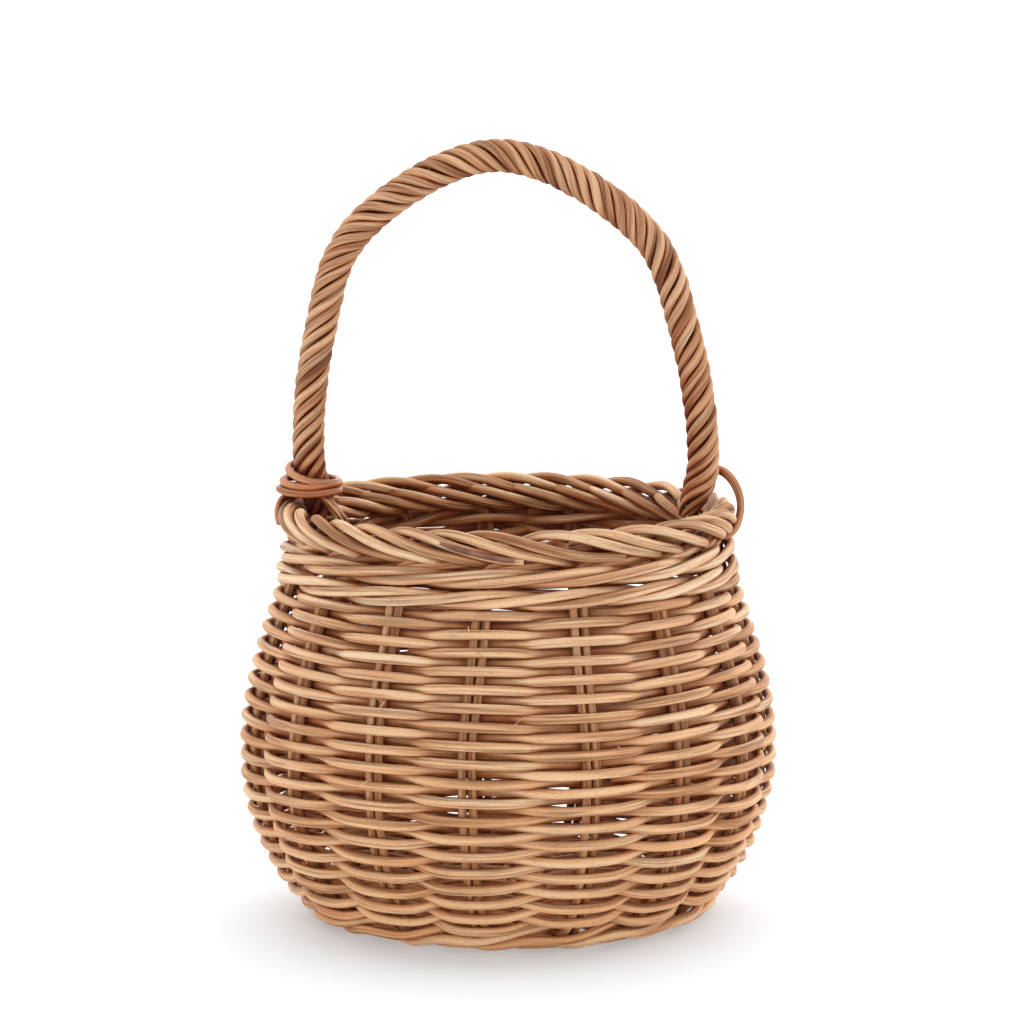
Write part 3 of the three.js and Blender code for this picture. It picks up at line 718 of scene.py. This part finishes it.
def wale_settle(t, place):
    """The weave between the wales is a spiral, so its first row climbs and its last row falls
    away; each wale closes up to it, more in the round that lies against it."""
    climbed = WALL_PITCH * np.clip(t % PAIRS, 0, PAIRS) / PAIRS
    if place == "bottom":
        return climbed * np.where(t < PAIRS, *BOTTOM_SETTLE) * ease(t, 0, 1)
    return -(WALL_PITCH - climbed) * np.where(t < PAIRS, *TOP_SETTLE) * ease(t % PAIRS, 0, 1.5)


def wale_route(rod, start_s, seed, place):
    rows = []
    for span in range(-1, 10):
        for at, out, rise in WALE_PHASES:
            t = rod + 3 * span + at
            if WALE_START <= t <= WALE_STOP:
                second_round = float(ease(t, PAIRS - 1, PAIRS))
                rows.append((t, start_s + second_round * WALE_PITCH + rise, out))
    t, s, out = np.array(rows).T
    s = s + 0.15 * wander(t, 5, seed) + wale_settle(t, place)
    if place == "bottom":
        s = s - SCALLOP * np.cos(2 * math.pi * t) * (out > 1)
    out = out + 0.12 * wander(t, 4, seed + 1)
    return smooth(on_wall(weave_angle(t, s), s, out), 8)


for number in range(3):
    for place, (start_s, first_seed) in WALES.items():
        seed = first_seed + number
        rod = make_rod(wale_route(number, start_s, seed, place), WALE_RADIUS, seed)
        if place == "bottom":
            rod["verts"][:, 2] = np.maximum(rod["verts"][:, 2], 0)
        build_piece(f"{place}_wale_twist_{number + 1}", [rod], weave_wicker,
                    [f"{place}_wale_rod_{number + 1}"])

# %% [markdown]
# ## Stakes and border
# Fifteen long rods cross in the middle of the base in two layers, spread out like a fan, turn up at
# the foot and stand in pairs in the wall. Above the top wale each bends to the right, climbs on the
# inside of the border, goes over its crest and down outside, passes under it again and ends as a
# second row inside. So the border needs no rods of its own. Its route is given as places relative
# to the stake: degrees further round, radius and height. Two rods are cut off outside, and at the
# back the climb starts sooner, because the rods lie closer there.

# %% Border routes
ROPE_HEIGHT = 149.2
FIRST_STEPS = [(1, 77.8, 139.4), (5, 78, 141)]
SECOND_STEPS = [(1, 77.9, 138.4), (6, 78.4, 139.7), (12, 78.4, 140.4), (17, 78, 141.2)]
ROPE_WAY = [
    (11, 77.4, 141.8), (17, 77, 143.4), (23, 76.6, 145), (28.5, 76, 146.5), (32.5, 75.9, 148.6),
    (36.5, 77.2, 150.8), (41.5, 79.4, 151.7), (47, 81.5, 150.8), (53, 82.7, 148.4),
    (60, 82.3, 145.6), (66.5, 80.6, 143.6)]
TAIL_WAY = [
    (72, 78, 141.6), (76, 75.4, 140.4), (80, 73.4, 141), (86, 72.2, 142.8), (92, 71.8, 144.8),
    (97, 72.6, 146.4), (100.5, 74.6, 147.1), (103, 77, 147.2), (105.5, 79.2, 147)]
CUT_OUTSIDE = {17: [(71.5, 81, 143.2)], 19: [(71.5, 81.2, 143.1), (76.5, 81.6, 142.9)]}
SECOND_LATER = 12.0
CREST_SHIFT = {16: 0.7, 17: 0.2, 18: -2.3, 19: -4, 20: 0.7, 21: -2, 22: 0.6, 23: 2.6}
OTHER_SHIFT = 1.5
BACK_CLIMB = np.array([0, 0.2, 0.9, 1.5, 1.0, 0.2, 0, 0.1, 0.3, 0.2, 0])
BACK_TAIL = 0.6
BORDER_SWELL = 0.25


def polar(angle, radius, height):
    angle = np.radians(angle)
    return np.stack([radius * np.cos(angle), radius * np.sin(angle), height], axis=-1)


def border_points(end, angle):
    """The rod's way from the top of its stake through the rope; a few rods are cut off outside."""
    later, steps = (0, FIRST_STEPS) if end % 2 == 0 else (SECOND_LATER, SECOND_STEPS)
    steps = np.array(steps)
    tail = CUT_OUTSIDE.get(end, TAIL_WAY)
    rope = np.array(ROPE_WAY + tail)
    at_back = np.clip(1.6 * np.sin(np.radians(angle + later + rope[:, 0])), 0, 1)
    rope[:, 2] += at_back * np.concatenate([BACK_CLIMB, np.full(len(tail), BACK_TAIL)])
    shift = CREST_SHIFT.get(end, OTHER_SHIFT * float(wander(end, 3.1, 77)))
    turned = rope[:, 0] + later + shift * ease(rope[:, 0], 5, 40)
    swell = BORDER_SWELL * wander(rope[:, 0], 60, 700 + end)
    return np.vstack([polar(angle + steps[:, 0], steps[:, 1], steps[:, 2]),
                      polar(angle + turned, rope[:, 1] + swell, rope[:, 2] + swell * 0.5)])


# %% Long rods through the base
STAKE_RADIUS = 1.58
BORDER_RADIUS = 1.83
THICKER_FROM_Z, THICKER_FULL_Z = 138, 144
PAIR_SPACING = 3.6
CROSS_SPACING = 3.7
CROSS_CLEAR = 2.2
LAYER_LIFT = 1.7
LAYER_S, FAN_S, WEAVE_EDGE_S = 22.0, 31.0, 59.4
STAKE_S = np.concatenate([[FAN_S, (FAN_S + WEAVE_EDGE_S) / 2],
                          np.arange(WEAVE_EDGE_S, 100, 5.5), np.arange(106, 211, 9)])
LONG_ROD_SEED = 400
border_ways = {}


def half_rod(end, direction, offset, half_crossing, lift):
    """From the crossing along the layer, through the fan, up the wall and into the border."""
    pair = end // 2
    angle = pair * PAIR_ANGLE
    slip = (-1 if end % 2 == 0 else 1) * PAIR_SPACING / 2
    bend = abs((angle - direction + 180) % 360 - 180)
    reach = half_crossing - abs(offset) * math.tan(math.radians(bend) / 2)
    a = math.radians(direction)
    start = [reach * math.cos(a) - offset * math.sin(a),
             reach * math.sin(a) + offset * math.cos(a),
             float(np.interp(reach, profile_s, profile[:, 1])) + lift]
    layer = on_wall(angle, LAYER_S, 0, slip) + [0, 0, lift]
    lean = pair_lean(pair, STAKE_S)
    wall = on_wall(angle + lean, STAKE_S, 0, slip + 0.14 * wander(STAKE_S, 90, 300 + end))
    top = border_ways[end] = border_points(end, angle + float(lean[-1]))
    return np.vstack([start, layer, wall, top])


def rod_set(first_name, count, other_count, first_end, lift):
    """One layer of crossed rods; each stands in the wall with both of its ends."""
    direction = (first_end + (count - 1) / 2) * PAIR_ANGLE / 2 - PAIR_ANGLE / 4
    half_crossing = other_count * CROSS_SPACING / 2 + CROSS_CLEAR
    for k in range(count):
        offset = (k - (count - 1) / 2) * CROSS_SPACING
        near_end = (first_end + k) % (2 * PAIRS)
        far_end = (first_end + PAIRS + count - 1 - k) % (2 * PAIRS)
        near = half_rod(near_end, direction, offset, half_crossing, lift)
        far = half_rod(far_end, direction + 180, -offset, half_crossing, lift)
        route = smooth(np.vstack([far[::-1], near]), 8)
        thicker = ease(route[:, 2], THICKER_FROM_Z, THICKER_FULL_Z)
        radius = STAKE_RADIUS + (BORDER_RADIUS - STAKE_RADIUS) * thicker
        rod = make_rod(route, radius, LONG_ROD_SEED + first_name + k, step=1.6)
        number = f"{first_name + k:02d}"
        build_piece(f"long_rod_{number}", [rod], stake_wicker,
                    [f"stake_rod_{number}"])


rod_set(1, 7, 8, -2, -LAYER_LIFT)
rod_set(8, 8, 7, 5, LAYER_LIFT)

# %% [markdown]
# ## A strip of skin
# Most skin is scraped off the rods, but one of the two that are cut off outside keeps a dark strip
# on its last few centimetres. It is a rod of its own here, pressed flat and laid on the outer face,
# so that it has a real edge.

# %% Strip of skin
SKIN_END = 17
SKIN_WIDE, SKIN_PRESS = 0.64, 0.42
SKIN_OUT, SKIN_UP = 1.68, 0.1
SKIN_TAPER = 20
skin_way = smooth(border_ways[SKIN_END][-5:])[:-6]
outward = unit(skin_way * (1, 1, 0))
skin_radius = SKIN_WIDE * (0.3 + 0.7 * ease(np.arange(len(skin_way)), 0, SKIN_TAPER))
skin = make_rod(skin_way + outward * SKIN_OUT + (0, 0, SKIN_UP), skin_radius, 690, outward,
                press=SKIN_PRESS, step=1.0, ends=("round", "round"))
build_piece("skin_strip", [skin], bark_wicker)

# %% [markdown]
# ## Base weave
# The base isn't seen in the photograph. Such baskets hold the spread rods with a weaver that goes
# over one pair and under the next, in a flat spiral out to the foot. It lies flat across each
# pair and dips between them.

# %% Base weaver
BASE_ROWS = 7
BASE_PITCH = 3.5
BASE_FLAT = 3.6
BASE_OUT, BASE_BOW = 3.25, 1.04
BASE_RADIUS = 1.55
t = np.arange(BASE_ROWS * PAIRS + 1)
s = WEAVE_EDGE_S - BASE_PITCH * (BASE_ROWS - t / PAIRS)
out = np.where(t % 2 == 0, -BASE_OUT, BASE_OUT)
angle = (WEAVE_START_PAIR + t) * PAIR_ANGLE
points = np.stack([on_wall(angle, s, out, -BASE_FLAT), on_wall(angle, s, out * BASE_BOW),
                   on_wall(angle, s, out, BASE_FLAT)], axis=1).reshape(-1, 3)
rod = make_rod(smooth(points, 6), BASE_RADIUS, 500)
build_piece("base_spiral", [rod], weave_wicker, ["base_weaver"])

# %% [markdown]
# ## Handle
# The handle is a bent core rod wrapped by six strands. Each strand's middle goes round the core in
# a screw line: the angle grows with the distance along the arch. Its two directions across are the
# arch's own, so the wrap follows the bend. Below, the strands draw together and go down inside the
# border; on the right they sweep inwards to a narrow end.

# %% Handle arch
LEG_X, LEG_BASE_X, LEG_TOP_X, SHOULDER_X = 68.4, 72.6, 67.4, 53.0
ARCH_LEAN, ARCH_LEAN_OVER = 3.7, 132.4
ARCH_RISE = 131.2


def arch_points():
    half = [(LEG_X, 126.0), (LEG_X + 0.3, ROPE_HEIGHT), (LEG_BASE_X, 168.0), (LEG_TOP_X, 214.0),
            (SHOULDER_X, 252.0)]
    left = [(-x, 0, z) for x, z in half]
    right = [(x, 0, z) for x, z in half[::-1]]
    points = np.array([*left, (0, 0, ROPE_HEIGHT + ARCH_RISE), *right])
    points[:, 0] -= ARCH_LEAN * np.maximum(points[:, 2] - ROPE_HEIGHT, 0) / ARCH_LEAN_OVER
    return points


arch_along, (arch,) = evenly(smooth(arch_points(), 60), 1.0)
backwards = np.tile([0.0, 1.0, 0.0], (len(arch), 1))
_, arch_side, arch_up = ring_frames(arch, backwards)
print("arch length", round(arch_along[-1]), "mm, top", round(arch[:, 2].max(), 1))

# %% Core and strands
CORE_RADIUS = 2.0
STRANDS = 6
STRAND_RADIUS = 1.72
STRAND_RING = 4.45
STRAND_PRESS = 0.96
STRAND_LEAD = 32.0
STRAND_FOOT_Z = 147.0
LEFT_NARROWER, RIGHT_NARROWER = 0.2, 0.45
RIGHT_FOOT_SWEEP = 2.6
TOP_THICKER = 0.045
STRAND_SEED = 610

core = make_rod(arch, CORE_RADIUS, 600, backwards)
build_piece("bent_core", [core], handle_wicker, ["handle_core"])

wrapped = arch[:, 2] > STRAND_FOOT_Z
middle, along, side, up = (table[wrapped] for table in (arch, arch_along, arch_side, arch_up))
x, _, z = middle.T
foot = 1 - ease(z, STRAND_FOOT_Z - 2, 161)
thick = 1 - np.where(x > 0, RIGHT_NARROWER, LEFT_NARROWER) * foot
thick = thick * (1 + TOP_THICKER * ease(z, 235, 275))
sweep = (x > 0) * RIGHT_FOOT_SWEEP * (1 - ease(z, STRAND_FOOT_Z - 4, 163))
middle = middle - np.outer(sweep, (1, 0, 0))
for number in range(STRANDS):
    seed = STRAND_SEED + number
    turn = (-2 * math.pi * (number / STRANDS + along / STRAND_LEAD)
            + 0.1 * wander(along, 120, seed) + 0.07 * wander(along, 31, seed + 30))
    ring = STRAND_RING * thick + 0.2 * wander(along, 33, seed + 10)
    across = side * np.cos(turn)[:, None] - up * np.sin(turn)[:, None]
    strand = make_rod(middle + across * ring[:, None], STRAND_RADIUS * thick, seed, across,
                      press=STRAND_PRESS, step=1.5)
    build_piece(f"wrap_strand_{number + 1}", [strand], handle_wicker,
                [f"handle_strand_{number + 1}"])

# %% [markdown]
# ## Lashings
# A darker rod ties each leg to the border. On the left it crosses the leg once at a slant, goes
# round it twice and drops outside the border; on the right it comes from behind the leg, makes one
# open loop outside and tucks in under the border. Both routes are set point by point, because
# nothing repeats in them.

# %% Lashings
LASHING_RADIUS = 1.42
LOOP_THICKER = 0.25
BEHIND_LEG = 7.4
LEFT_ROUTE = [
    (-66, 6.5, 160.5), (-71.5, 8.4, 164.8), (-78, 5.4, 166.6), (-80.6, -1.5, 165.2),
    (-77, -7.2, 162.9), (-70, -8.4, 160.9), (-63.8, -5.3, 160.4), (-62.2, 1.5, 160.6),
    (-66.5, 7.6, 160.9), (-75, 8.6, 161), (-81, 5, 161.2), (-82.6, -1.5, 160.7),
    (-79.2, -6.8, 159.8), (-72, -8.7, 159.4), (-64.4, -6.2, 160.2), (-62, 0.5, 160),
    (-65.5, 7.4, 158.9), (-75, 8.7, 158.2), (-81.8, 5, 158), (-84, -1.5, 157.9),
    (-80.4, -7.2, 157.2), (-73, -9.2, 156.7), (-64.8, -6.9, 157.4), (-62.2, 0, 157.2),
    (-67, 7, 154.9), (-76.5, 8.8, 154.5), (-82.6, 6.2, 153.6), (-84.3, 2.4, 151.2),
    (-84.6, -1.2, 148.2), (-83.8, -4, 145.6)]
RIGHT_ROUTE = [
    (70, 8.4, 160.4), (74, 7.6, 163.6), (79, 4.4, 163.8), (83.2, 0.8, 160.2), (85.6, -2.4, 154.4),
    (85.4, -5, 148.4), (83.2, -7.4, 143.4), (79.4, -9.4, 140.8)]
for hand, route, seed in (("left", LEFT_ROUTE, 650), ("right", RIGHT_ROUTE, 651)):
    path = smooth([(x, min(y, BEHIND_LEG), z) for x, y, z in route])
    thicker = LOOP_THICKER * ease(path[:, 0], 60, 70) * ease(path[:, 2], 150, 160)
    rod = make_rod(path, LASHING_RADIUS + thicker, seed, step=1.2)
    build_piece(f"{hand}_tie", [rod], lashing_wicker, [f"{hand}_lashing"])

# %% [markdown]
# ## Loose fibres
# Rattan splits as it is bent, so hair-thin fibres and pale splinters stand up here and there, and
# the strands of the left leg end frayed inside the mouth. A few splinters are placed where the
# photograph shows them: `wall_place` turns a pixel into an angle and a height, by the nearest of
# many points of the front wall as the camera sees them. The rest are scattered by a seed.

# %% From the picture to the wall
def seen_at(points):
    """Where the camera sees points given in millimetres, in pixels."""
    rel = points - np.array(CAMERA_TARGET) / MM
    cos, sin = math.cos(CAMERA_PITCH), math.sin(CAMERA_PITCH)
    up = rel[..., 1] * sin + rel[..., 2] * cos
    scale = FOCAL_PIXELS / (CAMERA_DISTANCE / MM + rel[..., 1] * cos - rel[..., 2] * sin)
    return np.stack([IMAGE_SIDE / 2 + scale * rel[..., 0], IMAGE_SIDE / 2 - scale * up], axis=-1)


SURFACE_OUT = 5.3
BELLY_LIMIT = 99.7
grid_angle, grid_s = (grid.ravel() for grid in np.meshgrid(np.arange(195, 345, 0.25),
                                                           np.arange(62, 206, 0.4)))
grid_seen = seen_at(on_wall(grid_angle, grid_s, SURFACE_OUT))


def wall_place(pixel):
    nearest = np.argmin(np.sum((grid_seen - pixel) ** 2, axis=1))
    return grid_angle[nearest], grid_s[nearest]


def sliver(points, radius, seed):
    """A thin splinter that narrows to a point."""
    route = smooth(points, 6)
    reach = np.hypot(route[:, 0], route[:, 1])
    route[:, :2] *= np.minimum(1, BELLY_LIMIT / reach)[:, None]
    return make_rod(route, radius * np.linspace(1, 0.35, len(route)), seed, step=0.7,
                    ends=("round", "point"))


def wall_sliver(places, radius, seed):
    """A splinter through places on the wall: angle, profile length, height over the weave."""
    points = [on_wall(angle, s, SURFACE_OUT + lift) for angle, s, lift in places]
    return sliver(points, radius, seed)


# %% Splinters
SPLINTER_PIXELS = [((468, 628), (471, 638), 0.5), ((475, 648), (482, 657), 0.6),
                   ((543, 622), (560, 619), 0.3), ((511, 730), (525, 717), 0.5),
                   ((448, 637), (458, 632), 0.5), ((360, 786), (371, 780), 0.6),
                   ((414, 793), (417, 786), 0.5), ((618, 747), (631, 752), 0.4),
                   ((384, 702), (379, 711), 0.5)]
SPLINTER_RADIUS = 0.24
SCATTERED = 46
SPLINTER_SEED, SCATTERED_SEED, FRAY_SEED = 700, 720, 780
slivers = []
for number, (start_pixel, end_pixel, lift) in enumerate(SPLINTER_PIXELS):
    (a0, s0), (a1, s1) = wall_place(start_pixel), wall_place(end_pixel)
    places = [(a0, s0, -0.2), ((a0 + a1) / 2, s0 * 0.4 + s1 * 0.6, lift), (a1, s1, lift)]
    slivers.append(wall_sliver(places, SPLINTER_RADIUS, SPLINTER_SEED + number))

dice = np.random.default_rng(71)
for number in range(SCATTERED):
    angle, s = dice.uniform(0, 360), dice.uniform(95, 200)
    turn, rise = dice.choice([-1, 1]) * dice.uniform(1.5, 4.5), dice.uniform(-2.2, 2.2)
    lift, radius = dice.uniform(0.2, 1.1), dice.uniform(0.1, 0.19)
    places = [(angle, s, -0.6), (angle + turn * 0.6, s + rise * 0.4, lift),
              (angle + turn, s + rise, lift * 0.8)]
    slivers.append(wall_sliver(places, radius, SCATTERED_SEED + number))

# %% Frayed foot of the left leg
LEFT_FOOT = np.array([-67.0, -3.6, 154.5])
FRAYED = 9
for number in range(FRAYED):
    start = LEFT_FOOT + [dice.uniform(-2.5, 2.5), dice.uniform(-1.5, 0.8), dice.uniform(-2, 2)]
    reach = np.array([dice.uniform(3, 9), dice.uniform(-4, 1.5), dice.uniform(-11, -6)])
    bow = [dice.uniform(-0.8, 0.8), -0.8, dice.uniform(0, 1.5)]
    slivers.append(sliver([start, start + reach * 0.55 + bow, start + reach],
                          dice.uniform(0.45, 0.95), FRAY_SEED + number))
build_piece("loose_fibres", slivers, weave_wicker)
print("splinters and fibres:", len(slivers))

# %% [markdown]
# ## Measure the painted shade
# From every second ring and side of each rod a few rays are sent out into the half space above the
# surface. Each that meets a rod counts, fully where it meets it at once; one that only meets the
# far wall counts nearly as much, which paints the inside darker than the outside. The result is an
# ambient occlusion that the finishes paint into the colour as shade. Cycles has an ambient occlusion
# node for this, but a number stored in the mesh is the same in every view, costs nothing to render
# and can be baked.

# %% Rays
RAYS = 8
RAY_REACH = 13 * MM
INSIDE_REACH = 190 * MM
# Share of painted shade from a ray that meets only the far wall; it darkens the basket's inside.
INSIDE_SHADE = 0.88
RAY_START = 0.06 * MM
RAY_SPREAD = 0.94
GOLDEN_TURN = 0.618
ray_dice = np.random.default_rng(31)


def ray_fan(normals):
    """Directions spread over the half space around each normal, more of them near the normal."""
    count = len(normals)
    slot = (np.arange(RAYS) + ray_dice.random((count, RAYS))) / RAYS
    spin = 2 * math.pi * (np.arange(RAYS) * GOLDEN_TURN + ray_dice.random((count, 1)))
    flat = np.sqrt(slot * RAY_SPREAD)
    helper = np.where(np.abs(normals[:, 2:]) < 0.9, (0.0, 0.0, 1.0), (1.0, 0.0, 0.0))
    u = unit(np.cross(normals, helper))
    v = np.cross(normals, u)
    return ((flat * np.cos(spin))[..., None] * u[:, None]
            + (flat * np.sin(spin))[..., None] * v[:, None]
            + np.sqrt(1 - flat ** 2)[..., None] * normals[:, None])


def vectors_of(items, name):
    """One vector from every item of a Blender list, as rows of an array."""
    flat = np.empty(len(items) * 3, np.float32)
    items.foreach_get(name, flat)
    return flat.reshape(-1, 3)


all_verts, all_faces, first = [], [], 0
for piece, _ in built:
    all_verts.append(vectors_of(piece.data.vertices, "co"))
    all_faces.extend([tuple(v + first for v in face.vertices) for face in piece.data.polygons])
    first += len(all_verts[-1])
tree_of_rods = BVHTree.FromPolygons(np.vstack(all_verts).tolist(), all_faces)
print("pieces to measure:", len(built), "vertices:", first)

# %% Occlusion of every vertex, for the painted shade
def occlusion_of(points, normals):
    origins = (points + normals * RAY_START).tolist()
    cast = tree_of_rods.ray_cast
    near = []
    for origin, fan in zip(origins, ray_fan(normals).tolist()):
        total = 0.0
        for direction in fan:
            distance = cast(origin, direction, INSIDE_REACH)[3]
            if distance is not None:
                total += max(1 - distance / RAY_REACH, INSIDE_SHADE)
        near.append(total / RAYS)
    return np.array(near)


def fill_between(values, rings):
    """From every second ring and side to all of them, a little smoothed along the rod."""
    padded = np.vstack([values[:1], values, values[-1:]])
    soft = (padded[:-2] + 2 * padded[1:-1] + padded[2:]) / 4
    sides = np.empty((len(soft), RING_SIDES))
    sides[:, ::2] = soft
    sides[:, 1::2] = (soft + np.roll(soft, -1, axis=1)) / 2
    at, known = np.arange(rings), np.arange(0, rings, 2)
    return np.stack([np.interp(at, known, side) for side in sides.T], axis=1)


for (piece, ring_counts), points in zip(built, all_verts):
    normals = vectors_of(piece.data.vertex_normals, "vector")
    parts, at = [], 0
    for rings in ring_counts:
        body = slice(at, at + rings * RING_SIDES)
        some_points, some_normals = (
            table[body].reshape(rings, RING_SIDES, 3)[::2, ::2].reshape(-1, 3)
            for table in (points, normals))
        found = occlusion_of(some_points, some_normals).reshape(-1, RING_SIDES // 2)
        full = fill_between(found, rings)
        parts += [full.ravel(), [full[0].mean(), full[-1].mean()]]
        at += rings * RING_SIDES + 2
    # The occlusion is stored for the finishes, which paint it into the colour as shade.
    store(piece.data, "rod_painted_shade", "FLOAT", "value", parts)
middle_half = np.round(np.percentile(np.concatenate(parts), (25, 75)), 2)
print("hollow of the last piece, middle half:", middle_half)

# %% [markdown]
# ## Studio
# The table and the walls round it are white, and a large soft lamp hangs above and behind, somewhat
# to the right. So the basket's front is lit by the walls and the table, its inside stays dark, and
# its shadow falls forwards and to the left. The shadow is pale right up to the foot, as on an opal
# table lit a little from below, so the floor is a mid grey that also glows faintly. The world is
# brightest at the horizon and dimmer above; a very wide sun stands for the lamp.

# %% Floor and light
FLOOR_CORNERS = [(-4, -4, 0), (4, -4, 0), (4, 4, 0), (-4, 4, 0)]
TABLE = {"Base Color": (0.54, 0.567, 0.588, 1), "Roughness": 0.9, "Emission Color": WHITE,
         "Emission Strength": 0.3}
HORIZON_Z, TOP_Z = 0.03, 0.5
HORIZON_STRENGTH, TOP_STRENGTH = 2.85, 0.5
SUN_FROM_BEHIND, SUN_FROM_RIGHT = math.radians(-37), math.radians(9)

floor_mesh = bpy.data.meshes.new("floor")
floor_mesh.from_pydata(FLOOR_CORNERS, [], [(0, 1, 2, 3)])
floor = add_object("floor", floor_mesh)
opal = bpy.data.materials.new("opal_table")
opal.use_nodes = True
for socket, value in TABLE.items():
    opal.node_tree.nodes["Principled BSDF"].inputs[socket].default_value = value
floor_mesh.materials.append(opal)

world = bpy.data.worlds.new("studio")
bpy.context.scene.world = world
world.use_nodes = True
sky = world.node_tree
direction = put(sky, "ShaderNodeTexCoord").outputs["Generated"]
height = put(sky, "ShaderNodeSeparateXYZ", {0: direction}).outputs["Z"]
strength = remap(sky, height, HORIZON_Z, TOP_Z, HORIZON_STRENGTH, TOP_STRENGTH)
sky.nodes["Background"].inputs["Color"].default_value = WHITE
sky.links.new(strength, sky.nodes["Background"].inputs["Strength"])

sun_data = bpy.data.lights.new("soft_sun", "SUN")
sun_data.energy = 3.75
sun_data.angle = math.radians(102)
sun = add_object("soft_sun", sun_data)
sun.rotation_euler = (SUN_FROM_BEHIND, SUN_FROM_RIGHT, 0)

bpy.context.scene.view_settings.view_transform = "Standard"
